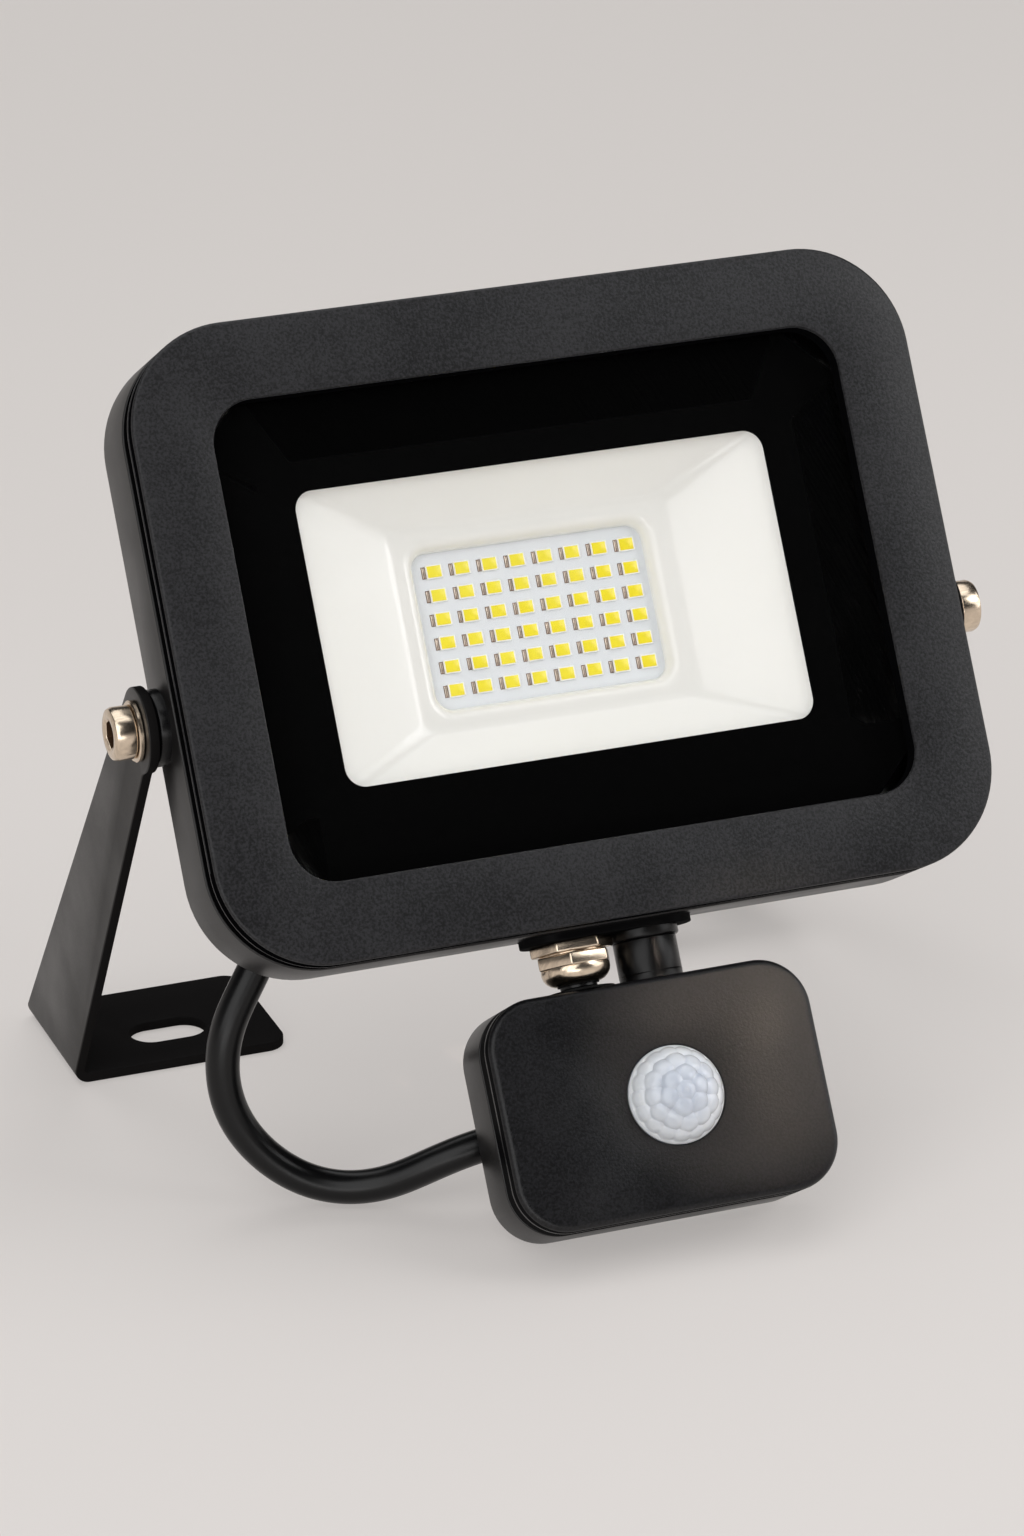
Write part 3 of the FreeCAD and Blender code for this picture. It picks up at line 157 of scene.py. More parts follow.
# %% Supply cord
CORD_DIAMETER = 8 * MM
CORD_ROUTE = [
    (-43.5, 0.15, 89.23),
    (-62.0, 0.15, 89.23),
    (-71.0, -6.0, 60.0),
    (-86.0, -10.0, 45.0),
    (-86.5, -12.7, 21.5),
    (-69.8, -20.0, 4.1),
    (-50.5, -28.6, 4.6),
    (-39.4, -34.2, 14.2),
    (-28.84, -35.17, 15.99),
]
cord_points = [cord_place(*point) for point in CORD_ROUTE]
thread = as_mesh(guided_curve("cord_line", cord_points, 0))
bpy.data.objects.remove(thread)
cord = as_mesh(guided_curve("supply_cord_tube", cord_points, CORD_DIAMETER))
cord.data.polygons.foreach_set("use_smooth", [len(f.vertices) == 4 for f in cord.data.polygons])
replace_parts(cord, "supply_cord")
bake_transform(cord)

# %% [markdown]
# The finishes are patterns that Blender works out from Object coordinates, so that they stay where
# they are on a piece when it moves or is seen from another side. Added node by node, even a short
# sum takes many lines. One small class wraps a socket instead and turns + - * / into Math nodes, so
# that a pattern reads as a plain expression.

# %% Sockets that take part in expressions
class Wire:
    """An output socket with arithmetic."""

    def __init__(self, material, socket):
        self.material = material
        self.socket = socket

    def math(self, operation, *others):
        """A Math node on this socket and others."""
        values = [self, *others]
        return self.material.node("ShaderNodeMath", {"operation": operation},
                                  dict(enumerate(values)))

    def __add__(self, other):
        return self.math("ADD", other)

    def __sub__(self, other):
        return self.math("SUBTRACT", other)

    def __mul__(self, other):
        return self.math("MULTIPLY", other)

    def __truediv__(self, other):
        return self.math("DIVIDE", other)

    def __rsub__(self, other):
        return (self * -1) + other

    __radd__ = __add__
    __rmul__ = __mul__


print("a wire adds, subtracts, multiplies and divides")

# %% [markdown]
# A second class holds a material while it is made. One method adds any node from its type, its
# settings and its inputs. The rest are short names for what nearly every finish here needs: a
# noise, a smooth range, a colour mix, a bump and a mix of two shaders.

# %% A material under construction
class Finish:
    """A material, or a world if one is handed in, with its main shader at hand."""

    def __init__(self, name, data=None, shader="Principled BSDF", output="Material Output"):
        self.data = data or bpy.data.materials.new(name)
        self.data.use_nodes = True
        self.tree = self.data.node_tree
        self.shader = self.tree.nodes[shader]
        self.output = self.tree.nodes[output]

    def node(self, kind, settings=None, inputs=None, output=0):
        """A node with its settings made first and its inputs filled; gives one output."""
        made = self.tree.nodes.new(kind)
        for key, value in (settings or {}).items():
            setattr(made, key, value)
        for key, value in (inputs or {}).items():
            self.plug(made.inputs[key], value)
        return Wire(self, made.outputs[output])

    def plug(self, socket, value):
        """Links a wire to a socket, or writes a number or colour on it."""
        if isinstance(value, Wire):
            self.tree.links.new(value.socket, socket)
        elif isinstance(value, (tuple, list)) and len(value) == 3 and socket.type == "RGBA":
            socket.default_value = (*value, 1)
        else:
            socket.default_value = value

    def set(self, **values):
        """Fills the main shader's sockets; an underscore stands for a space."""
        for key, value in values.items():
            self.plug(self.shader.inputs[key.replace("_", " ")], value)

    def place(self, matrix=None):
        """Object coordinates in metres, in an upright frame if its matrix is given."""
        coordinates = self.node("ShaderNodeTexCoord", output="Object")
        if matrix is None:
            return coordinates
        inverse = matrix.inverted()
        return self.node("ShaderNodeMapping", {"vector_type": "POINT"},
                         {"Vector": coordinates, "Location": inverse.translation,
                          "Rotation": inverse.to_euler()})

    def noise(self, where, scale, detail=2.0, roughness=0.5):
        return self.node("ShaderNodeTexNoise", None,
                         {"Vector": where, "Scale": scale, "Detail": detail, "Roughness": roughness})

    def ramp(self, value, low, high, start=0.0, end=1.0):
        """Runs smoothly from start to end while the value goes from low to high."""
        return self.node("ShaderNodeMapRange", {"interpolation_type": "SMOOTHSTEP"},
                         {"Value": value, "From Min": low, "From Max": high,
                          "To Min": start, "To Max": end})

    def mix(self, share, first, second):
        """A colour between two others."""
        return self.node("ShaderNodeMix", {"data_type": "RGBA"},
                         {"Factor": share, 6: first, 7: second}, output=2)

    def bump(self, height, strength, distance):
        self.set(Normal=self.node("ShaderNodeBump", None,
                                  {"Height": height, "Strength": strength, "Distance": distance}))

    def main(self):
        """The main shader's own output."""
        return Wire(self, self.shader.outputs[0])

    def surface(self, share, first, second):
        """Makes the surface a mix of two shaders: the first at a share of 0, the second at 1."""
        both = self.node("ShaderNodeMixShader", None, {0: share, 1: first, 2: second})
        self.tree.links.new(both.socket, self.output.inputs["Surface"])


print("a finish has", [name for name in vars(Finish) if not name.startswith("_")])

# %% [markdown]
# A colour is easiest to judge by the levels that a display shows, from 0 to 255, but a shader counts
# light. The display's own curve turns the one into the other. Under plain lamps a colour then renders
# about as it is written.

# %% Colours
def tone(level):
    """Linear value of a display grey from 0 to 255."""
    v = level / 255
    return v / 12.92 if v <= 0.04045 else ((v + 0.055) / 1.055) ** 2.4


def colour(r, g, b):
    """Linear colour of three display levels."""
    return tone(r), tone(g), tone(b)


print("a display grey of 128 is", round(tone(128), 3), "of the light of white")

# %% [markdown]
# The casing, its bezel and its legs are cast or bent metal under a powder coat. The powder melts
# into a skin with a very fine grain and slow waves of gloss. A picture of paint would repeat and
# blur close by, so two noises make it: a tight one drives the bump and the speckle, and a wide one
# most of the gloss. Other sizes and depths of the same two give moulded plastic and rubber.

# %% Powder-coat, plastic and rubber finishes
WAVE_SIZE = 22 * MM
ZONE_EDGE, ZONE_SHARE = 0.1 * MM, 0.94


def coated(name, shade, rough, grain, depth, drift=0.06, shine=0.3, speckle=0.0,
           painted_shade_zones=(), painted_shade_colour=(12, 12, 13)):
    """Dark skin with a fine grain, its size and depth in mm, and a slow drift of gloss and tone.

    A painted-shade zone is a matrix, an axis and the range on it where the skin is painted shade: a plain
    dull colour without sheen.
    """
    made = Finish(name)
    where = made.place()
    wide = made.noise(where, 1 / WAVE_SIZE, 3)
    fine = made.noise(where, 1 / (grain * MM), 3, 0.6)
    dark = tuple(c * (0.94 - speckle) for c in shade)
    light = tuple(min(1, c * (1.06 + 1.6 * speckle)) for c in shade)
    made.set(Base_Color=made.mix(made.ramp(wide * 0.15 + fine * 0.85, 0.38, 0.62), dark, light))
    made.set(Roughness=made.ramp(wide * 0.7 + fine * 0.3, 0.3, 0.7, rough - drift, rough + drift))
    made.set(Specular_IOR_Level=shine)
    made.bump(fine, 0.6, depth * MM)
    zone = 0
    for matrix, axis, low, high in painted_shade_zones:
        along = made.node("ShaderNodeSeparateXYZ", None, {0: made.place(matrix)}, output=axis)
        begun = made.ramp(along, low, low + ZONE_EDGE)
        over = made.ramp(along, high - ZONE_EDGE, high)
        zone = begun - over + zone
    # Inside each zone the skin is painted shade: a plain diffuse colour without sheen.
    if painted_shade_zones:
        painted_shade = made.node("ShaderNodeBsdfDiffuse", None, {"Color": colour(*painted_shade_colour)})
        made.surface(zone * ZONE_SHARE, made.main(), painted_shade)
    return made.data


powder = coated("powder_coat", colour(28, 28, 30), rough=0.42, grain=0.62, depth=0.1, speckle=0.45)
# Painted shade: the bezel's window wall and the outer lip's side bands are painted near black.
edge_painted_shade = coated("edge_painted_shade", colour(7, 7, 8), rough=0.4, grain=2.0, depth=0.004, drift=0.04,
                    shine=0.0)
soft_rubber = coated("seal_rubber", colour(6, 6, 6), rough=0.6, grain=0.8, depth=0.01, shine=0.1)
cord_skin = coated("cord_rubber", colour(8, 8, 9), rough=0.32, grain=2.2, depth=0.008, drift=0.04,
                   shine=0.3)
gloss_black = coated("gloss_black", colour(6, 6, 7), rough=0.28, grain=3.0, depth=0.003, drift=0.04,
                     shine=0.25)
mask_black = coated("glass_print", colour(8, 8, 8), rough=0.5, grain=2.0, depth=0.002, shine=0.0)
print("plain dark finishes", powder.name, edge_painted_shade.name, soft_rubber.name, cord_skin.name)

# %% [markdown]
# Three skins carry painted shade in part: the casing's underside, the legs between their outer faces, and
# two bands round the side of the sensor's cover are painted plain, dull and dark, so that they read as
# faces in shade. A second piece or slot would cut the mesh there. The place on the object can decide
# instead, so a plain matt shader takes over inside each zone.

# %% Finishes with a zone of painted shade
# Painted shade: the casing's underside, the legs' edges and inner faces, and the sensor cover's side bands.
UNDERSIDE = (LAMP, "Z", -80 * MM, -74 * MM)
LEG_FACE = 100.4 * MM
BETWEEN_LEGS = (LAMP, "X", -LEG_FACE, LEG_FACE)
COVER_FACE = -9.5 * MM
COVER_BANDS = [(SENSOR, "Y", COVER_FACE + 1.1 * MM, COVER_FACE + 3.6 * MM),
               (SENSOR, "Y", COVER_FACE + 4.3 * MM, COVER_FACE + 9.0 * MM)]
wall_coat = coated("wall_coat", colour(21, 20, 20), rough=0.36, grain=0.5, depth=0.015, shine=0.42,
                   speckle=0.1, painted_shade_zones=[UNDERSIDE])
leg_coat = coated("leg_powder_coat", colour(16, 14, 13), rough=0.4, grain=0.5, depth=0.015, shine=0.3,
                  speckle=0.1, painted_shade_zones=[BETWEEN_LEGS], painted_shade_colour=(25, 24, 24))
sensor_grain = coated("sensor_plastic", colour(16, 16, 18), rough=0.37, grain=0.62, depth=0.11,
                      speckle=0.45, painted_shade_zones=COVER_BANDS)
sensor_wall = coated("sensor_wall", colour(15, 14, 14), rough=0.36, grain=0.5, depth=0.015, shine=0.4,
                     speckle=0.1)
print("zoned finishes", wall_coat.name, leg_coat.name, sensor_grain.name)

# %% [markdown]
# Screws, washers and the gland are nickel plated: bright metal that handling has dulled in places.
# An even mirror would look like chrome, so a noise that is squeezed along one axis, and so falls
# in short streaks, changes the colour and the roughness a little.

# %% Metal finishes
STREAK_SIZE, MARK_SIZE = 3 * MM, 0.4 * MM


def plated(name, shade, rough):
    """Warm bright metal with dull streaks."""
    made = Finish(name)
    where = made.place()
    streak = made.node("ShaderNodeMapping", {"vector_type": "POINT"},
                       {"Vector": where, "Scale": (1, 6, 1)})
    worn = made.noise(streak, 1 / STREAK_SIZE, 4)
    fine = made.noise(where, 1 / MARK_SIZE, 2)
    dull = tuple(c * 0.86 for c in shade)
    made.set(Base_Color=made.mix(made.ramp(worn, 0.35, 0.62), dull, shade))
    made.set(Roughness=made.ramp(worn, 0.3, 0.7, rough + 0.06, rough), Metallic=1.0)
    made.bump(fine, 0.3, 0.002 * MM)
    return made.data


nickel = plated("nickel_plate", colour(226, 208, 186), rough=0.2)
# The socket's inside gets a dark brown copy of the plating: painted shade of the recess.
socket_painted_shade = plated("socket_shadow", colour(74, 56, 42), rough=0.45)
bead_silver = plated("solder_bead", colour(236, 222, 206), rough=0.3)
pad_brown = plated("solder_pad", colour(150, 124, 110), rough=0.5)
print("metals", nickel.name, bead_silver.name, pad_brown.name)

# %% [markdown]
# The tray behind the glass is white and glossy, the board is a cool white, and each emitter is a
# white body with yellow gel. Moulded parts like these have next to no grain. A very wide noise
# keeps the colour and the gloss from being dead even, and a coat gives the clear shine on top.

# %% Light chamber and board finishes
TINT_SIZE = 30 * MM


def smooth_light(name, shade, other, rough, coat):
    """Smooth skin between two near colours, with some clear coat."""
    made = Finish(name)
    wide = made.noise(made.place(), 1 / TINT_SIZE, 2)
    made.set(Base_Color=made.mix(made.ramp(wide, 0.35, 0.65), shade, other))
    made.set(Roughness=made.ramp(wide, 0.3, 0.7, rough - 0.01, rough + 0.02))
    made.set(Coat_Weight=coat, Coat_Roughness=0.1)
    return made.data


tray_white = smooth_light("tray_white", colour(246, 245, 240), colour(244, 243, 238), rough=0.2, coat=0.4)
board_white = smooth_light("board_white", colour(231, 235, 238), colour(235, 238, 241), rough=0.4, coat=0.1)
led_white = smooth_light("led_white", colour(254, 253, 248), colour(251, 250, 244), rough=0.35, coat=0.2)
led_yellow = smooth_light("led_yellow", colour(255, 236, 50), colour(255, 240, 74), rough=0.3, coat=0.2)
board_green = smooth_light("board_green", colour(30, 92, 56), colour(26, 82, 50), rough=0.4, coat=0.3)
print("light finishes", tray_white.name, board_white.name, led_white.name, led_yellow.name)

# %% [markdown]
# The sensor's lens is milky plastic over a dark inside. It looks cooler and darker in the middle, where the
# eye sees deepest into the dark inside. A real mix of clear and cloudy plastic would be slow to render, so
# that darkness is painted shade: the colour goes from a darker, cooler middle to a paler rim with the
# distance from the dome's top, and a little light spreads under the skin.

# %% Lens plastic
LENS_RADIUS, LENS_RISE = 11.4 * MM, 8.6 * MM
LENS_X, LENS_Z = -2.7 * MM, -21.5 * MM
LENS_SHADE_REACH, CLOUD_SIZE = 14 * MM, 5 * MM


def milky(name, centre, radius, middle, rim):
    """Translucent plastic that goes from one colour at a centre to another at a radius; the darker centre
    is painted shade.
    """
    made = Finish(name)
    offset = made.node("ShaderNodeVectorMath", {"operation": "DISTANCE"},
                       {0: made.place(), 1: centre}, output="Value")
    cloud = made.noise(made.place(), 1 / CLOUD_SIZE, 2)
    made.set(Base_Color=made.mix(made.ramp(offset / radius + cloud * 0.3, 0.35, 1.15), middle, rim))
    made.set(Roughness=made.ramp(cloud, 0.3, 0.7, 0.14, 0.2))
    made.set(Subsurface_Weight=0.2, Subsurface_Scale=1.0)
    made.set(Subsurface_Radius=(2.0 * MM, 2.2 * MM, 2.6 * MM))
    made.set(Coat_Weight=0.5, Coat_Roughness=0.08)
    return made.data


lens_top = SENSOR @ Vector((LENS_X, COVER_FACE - LENS_RISE, LENS_Z))
# The darker middle colour is painted shade of the dark inside.
lens_milk = milky("lens_milk", lens_top, LENS_SHADE_REACH, colour(180, 188, 201), colour(221, 225, 229))
print("lens plastic", lens_milk.name, "from", [round(c, 4) for c in lens_top])

# %% [markdown]
# Clear glass only needs two things here: what is behind it shows, and its face mirrors a little,
# more so at a glancing angle. Refraction would darken the light chamber and make it slow and noisy.
# So a transparent and a glossy shader are mixed, by the fifth power of how far a face looks away.

# %% Glass
FILM_SIZE, STRAIGHT_ON = 40 * MM, 0.02


def clear_glass(name):
    """Pane that mirrors a small share of the light straight on and all of it at a glancing angle."""
    made = Finish(name)
    film = made.noise(made.place(), 1 / FILM_SIZE, 2)
    made.tree.nodes.remove(made.shader)
    facing = made.node("ShaderNodeLayerWeight", None, {"Blend": 0.5}, output="Facing")
    mirrored = facing.math("POWER", 5.0) * (1 - STRAIGHT_ON) + STRAIGHT_ON
    through = made.node("ShaderNodeBsdfTransparent", None, {"Color": colour(254, 254, 254)})
    mirror = made.node("ShaderNodeBsdfGlossy", None,
                       {"Color": (1, 1, 1), "Roughness": made.ramp(film, 0.3, 0.7, 0.02, 0.05)})
    made.surface(mirrored, through, mirror)
    return made.data


glass_clear = clear_glass("clear_glass")
print("glass", glass_clear.name)

# %% [markdown]
# Real edges are never sharp: a casting or a bent sheet has a small round that catches a line of
# light. A Bevel modifier could do that, but the round is needed only where faces meet steeply, so
# those edges are picked and bevelled. Each form ends in `finished`, which closes it, smooths it,
# puts it in its place and makes it an object that rides a body.

# %% Helpers for rounding and finishing a form
SHARP = math.radians(32)
CLOSED_GAP = 0.0005 * MM


def soften(form, width, segments=3):
    """Rounds every edge whose faces meet at more than SHARP, by a width in mm."""
    edges = [e for e in form.edges if len(e.link_faces) == 2 and e.calc_face_angle() > SHARP]
    bmesh.ops.bevel(form, geom=edges, offset=width * MM, offset_type="OFFSET", affect="EDGES",
                    segments=segments, profile=0.5, material=-1, clamp_overlap=False)


def finished(form, name, finish, body, matrix=None, outwards=True):
    """The form as an object with its place in its mesh; it rides a body if one is given."""
    bmesh.ops.remove_doubles(form, verts=form.verts, dist=CLOSED_GAP)
    if outwards:
        bmesh.ops.recalc_face_normals(form, faces=form.faces)
    if matrix is not None:
        bmesh.ops.transform(form, matrix=matrix, verts=form.verts)
    mesh = bpy.data.meshes.new(name)
    form.to_mesh(mesh)
    form.free()
    mesh.shade_smooth()
    mesh.set_sharp_from_angle(angle=SHARP)
    piece = bpy.data.objects.new(name, mesh)
    bpy.context.scene.collection.objects.link(piece)
    mesh.materials.append(finish)
    if body:
        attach(piece, body)
    print(name, len(mesh.polygons), "faces")
    return piece


print("edges steeper than", round(math.degrees(SHARP)), "degrees are rounded")

# %% [markdown]
# The rear housing, its lid, the legs and the sensor's shells already have their shapes in the
# solids, and modelling them again would only bring errors. A solid arrives as loose triangles with
# sharp edges. A copy is merged and freed of its flat triangle edges, so that only the real edges
# are left to round, and it then stands in the solid's stead.

# %% Rounded housing, legs and shells
def rounded_copy(name, width, finish, body):
    """A solid's own shape with its sharp edges rounded, in the solid's stead."""
    form = bmesh.new()
    form.from_mesh(nodes[name].data)
    bmesh.ops.remove_doubles(form, verts=form.verts, dist=0.002 * MM)
    bmesh.ops.dissolve_limit(form, angle_limit=math.radians(0.5), verts=form.verts, edges=form.edges,
                             use_dissolve_boundaries=False)
    soften(form, width)
    piece = finished(form, name + "_shape", finish, body, outwards=False)
    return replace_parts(piece, name)


rounded_copy("rear_housing", 0.35, wall_coat, "lamp")
rounded_copy("driver_lid", 0.25, wall_coat, "lamp")
rounded_copy("left_leg", 0.35, leg_coat, "left_leg")
rounded_copy("right_leg", 0.35, leg_coat, "right_leg")
rounded_copy("sensor_front_cover", 0.3, sensor_grain, "sensor")
rounded_copy("sensor_rear_shell", 0.3, sensor_wall, "sensor")

# %% [markdown]
# Bezel and tray are both rows of rounded rectangles at different depths. A box with bevelled edges
# keeps one corner radius, but theirs changes from ring to ring. So a plane whose corners are
# rounded gives each ring, and neighbouring rings are bridged by a skin.

# %% Helpers for rings of rounded rectangles
def rounded_ring(form, width, height, corner, depth, segments):
    """Edges of a rounded rectangle that stands at a depth behind the face."""
    made = bmesh.ops.create_grid(form, x_segments=1, y_segments=1, size=0.5)["verts"]
    bmesh.ops.scale(form, verts=made, vec=(width, height, 1))
    bmesh.ops.rotate(form, verts=made, cent=(0, 0, 0), matrix=Matrix.Rotation(math.pi / 2, 3, "X"))
    bmesh.ops.translate(form, verts=made, vec=(0, depth, 0))
    bmesh.ops.bevel(form, geom=made, offset=corner, offset_type="OFFSET", affect="VERTICES",
                    segments=segments, profile=0.5, material=-1)
    flat = [f for f in form.faces if len(f.verts) > 3 * segments]
    edges = [e for f in flat for e in f.edges]
    bmesh.ops.delete(form, geom=flat, context="FACES_ONLY")
    return edges


def ringed(rings, closed=True, segments=12):
    """Form whose skin joins a row of rounded rectangles: (width, height, corner, depth) in mm.

    It is built in millimetres and scaled at the end, because bridging near-flat rings needs that.
    """
    form = bmesh.new()
    loops = [rounded_ring(form, *ring, segments) for ring in rings]
    for first, second in zip(loops, loops[1:] + (loops[:1] if closed else [])):
        bmesh.ops.bridge_loops(form, edges=first + second)
    bmesh.ops.scale(form, verts=form.verts, vec=(MM, MM, MM))
    return form


print("ring helpers ready")

# %% [markdown]
# The bezel is cast in one piece with a broad grained face. The window's wall and the outer lip's side get a
# smoother finish painted near black, as painted shade, and a thin raised rib with the face's grain runs
# round the lip between two such black bands. One closed skin over a row of rings has all of that, and the
# depth of a face tells which finish it gets.

# %% Bezel
CASE, WINDOW = (190, 148, 25), (153, 111, 10.5)
FACE_DEPTH, RIB_START, RIB_END = 0.85, 3.9, 4.6


def grown(base, out, depth):
    """A rounded rectangle grown outwards by a distance, at a depth."""
    width, height, corner = base
    return width + 2 * out, height + 2 * out, corner + out, depth


inner_lip = [grown(WINDOW, out, depth) for out, depth in
             ((0, 4.95), (0, 0.7), (0.12, 0.3), (0.35, 0.06), (0.65, 0.0))]
outer_lip = [grown(CASE, -inset, depth) for inset, depth in
             ((0.85, 0.01), (0.55, 0.07), (0.28, 0.22), (0.09, 0.48), (0.02, 0.8), (0.2, 0.95), (0.2, 3.8),
              (0.02, 4.0), (0, 4.2), (0.02, 4.45), (0.2, 4.65), (0.2, 7.9), (0.9, 8.2), (4, 8.21))]
bezel_form = ringed(inner_lip + outer_lip, segments=20)
# Faces on the window's wall and the lip's side bands get the painted shade finish.
for face in bezel_form.faces:
    depth = face.calc_center_median().y / MM
    grained = depth < FACE_DEPTH or RIB_START < depth < RIB_END
    face.material_index = 0 if grained else 1
bezel = finished(bezel_form, "bezel_shape", powder, "lamp", LAMP)
bezel.data.materials.append(edge_painted_shade)
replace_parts(bezel, "front_bezel")

# %% [markdown]
# Screw heads, washers, sleeves and most of the gland are round, so each is a profile of radius and
# height that spins about an axis. A cylinder with loops pushed about would take more steps for
# less control. Equal pieces at both ends of the pivot axis share one function and one object.

# %% Helpers for turned parts
def turned(profile, steps=64):
    """Form turned about z from a profile of (radius, height) points in mm."""
    form = bmesh.new()
    points = [form.verts.new((radius * MM, 0, height * MM)) for radius, height in profile]
    lines = [form.edges.new(pair) for pair in zip(points, points[1:])]
    bmesh.ops.spin(form, geom=points + lines, axis=(0, 0, 1), cent=(0, 0, 0),
                   angle=math.tau, steps=steps, use_merge=True)
    bmesh.ops.remove_doubles(form, verts=form.verts, dist=CLOSED_GAP)
    return form


def join_forms(placed):
    """One form from several, each with its own matrix."""
    whole = bmesh.new()
    for form, matrix in placed:
        bmesh.ops.transform(form, matrix=matrix, verts=form.verts)
        mesh = bpy.data.meshes.new("part")
        form.to_mesh(mesh)
        form.free()
        whole.from_mesh(mesh)
        bpy.data.meshes.remove(mesh)
    return whole


def on_both_sides(make, out):
    """Two forms on the pivot axis, z outwards, each at a distance in mm from the lamp's middle."""
    placed = []
    for side in (-1, 1):
        spot = Matrix.Translation((side * out * MM, PIVOT_BACK, -PIVOT_DROP))
        placed.append((make(), spot @ Matrix.Rotation(math.radians(90 * side), 4, "Y")))
    return join_forms(placed)


print("turned parts have 64 steps")

# %% [markdown]
# Each leg turns on a cap screw with a hexagon socket. A boolean cut would leave long thin faces, so
# the socket is a six-sided wall that is pushed down from a ring and bridged to the round mouth.

# %% Pivot screws
HEAD_START, HEAD_END, HEAD_RADIUS = 102.1, 107.2, 6.2
SOCKET_RADIUS, SOCKET_DEPTH = 3.46, 3.4


def screw_head():
    """Cap screw's head along z, its seat at height 0, with a socket in its top."""
    length = HEAD_END - HEAD_START
    form = turned([(0, 0), (HEAD_RADIUS - 0.15, 0), (HEAD_RADIUS, 0.15), (HEAD_RADIUS, length - 1.3),
                   (HEAD_RADIUS - 0.38, length - 0.38), (HEAD_RADIUS - 1.3, length),
                   (SOCKET_RADIUS + 0.45, length)])
    mouth = [e for e in form.edges if e.is_boundary]
    below_mouth = Matrix.Translation((0, 0, (length - 0.4) * MM))
    ring = bmesh.ops.create_circle(form, segments=6, radius=SOCKET_RADIUS * MM,
                                   matrix=below_mouth)["verts"]
    rim = [e for e in form.edges if all(v in ring for v in e.verts)]
    bmesh.ops.bridge_loops(form, edges=mouth + rim)
    wall = bmesh.ops.extrude_edge_only(form, edges=rim)["geom"]
    low = [v for v in wall if isinstance(v, bmesh.types.BMVert)]
    bmesh.ops.translate(form, verts=low, vec=(0, 0, -SOCKET_DEPTH * MM))
    bottom = [e for e in wall if isinstance(e, bmesh.types.BMEdge) and e.is_boundary]
    bmesh.ops.holes_fill(form, edges=bottom)
    soften(form, 0.12, 2)
    # Faces inside the socket take the second finish, painted shade.
    for face in form.faces:
        middle = face.calc_center_median() / MM
        in_socket = 0.3 < middle.z < length - 0.7 and math.hypot(middle.x, middle.y) < SOCKET_RADIUS
        face.material_index = 1 if in_socket else 0
    return form


heads = finished(on_both_sides(screw_head, HEAD_START), "pivot_screw_heads", nickel, "lamp",
                 LAMP)
heads.data.materials.append(socket_painted_shade)
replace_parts(heads, "pivot_screws")

# %% [markdown]
# Under each head lies a flat washer, and a glossy sleeve sits round the boss between the casing and
# the leg. Both are closed profiles: the first point is also the last, so the ring has no open edge.

# %% Pivot washers and boss sleeves
WASHER_START, WASHER_RADIUS, WASHER_HOLE = 100.75, 7.1, 3.1
BOSS_START, BOSS_RADIUS = 94.5, 8.0


def washer():
    """Flat washer with rounded edges."""
    return turned([(WASHER_HOLE, 0.1), (WASHER_HOLE, 1.2), (WASHER_RADIUS - 0.3, 1.2),
                   (WASHER_RADIUS, 0.9), (WASHER_RADIUS, 0.2), (WASHER_RADIUS - 0.2, 0),
                   (WASHER_HOLE + 0.1, 0), (WASHER_HOLE, 0.1)])


def boss_sleeve():
    """Glossy sleeve between the casing's side and the leg."""
    return turned([(BOSS_RADIUS, 0), (BOSS_RADIUS + 0.9, 0), (BOSS_RADIUS + 0.9, 2.4),
                   (BOSS_RADIUS + 0.6, 3.0), (BOSS_RADIUS + 0.2, 3.3), (BOSS_RADIUS, 3.3),
                   (BOSS_RADIUS, 0)])


washers = finished(on_both_sides(washer, WASHER_START), "pivot_washer_rings", nickel, "lamp",
                   LAMP)
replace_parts(washers, "pivot_washers")
finished(on_both_sides(boss_sleeve, BOSS_START), "boss_sleeves", gloss_black, "lamp", LAMP)

# %% [markdown]
# The cable gland is a chamfered hexagon seat, a second hexagon and a polished dome that closes on
# the link cable. A hexagon from a turned form would need a cut, and a cone with six sides and equal
# radii is one already. Everything here hangs from the casing's underside, so heights are below 0.

# %% Cable gland
OUTLET_BACK, GLAND_X, POST_X, PAD_FACE = 19.5, -9.0, 8.8, -76.0


def hexagon(flats, low, high, turn, chamfer):
    """Six-sided nut about z in mm, turned by degrees, with its edges rounded off."""
    form = bmesh.new()
    radius = flats * MM / math.sqrt(3)
    spot = (Matrix.Translation((0, 0, (low + high) / 2 * MM))
            @ Matrix.Rotation(math.radians(turn), 4, "Z"))
    bmesh.ops.create_cone(form, cap_ends=True, segments=6, radius1=radius, radius2=radius,
                          depth=(high - low) * MM, matrix=spot)
    soften(form, chamfer)
    return form


def hanging(x):
    """Place on the casing's underside, at x mm from its middle."""
    return Matrix.Translation((x * MM, OUTLET_BACK * MM, PAD_FACE * MM))


at_gland, at_post = hanging(GLAND_X), hanging(POST_X)
seat = hexagon(flats=17, low=-2.5, high=0, turn=20, chamfer=0.45)
neck = turned([(0, -3.0), (7.2, -3.0), (7.2, -2.4), (0, -2.4)])
cap = hexagon(flats=16, low=-5.8, high=-2.8, turn=38, chamfer=0.4)
dome = turned([(4.7, -5.4), (7.9, -5.4), (8.05, -6.0), (8.05, -6.8), (7.8, -7.8), (7.2, -8.7),
               (6.3, -9.4), (5.4, -9.75), (4.9, -9.8), (4.7, -9.7), (4.7, -5.4)])
gland_seat = finished(join_forms([(seat, at_gland), (neck, at_gland)]), "gland_seat", nickel, "lamp",
                      LAMP)
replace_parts(gland_seat, "gland_body")
gland_dome = finished(join_forms([(cap, at_gland), (dome, at_gland)]), "gland_dome", nickel, "lamp",
                      LAMP)
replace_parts(gland_dome, "gland_cap")

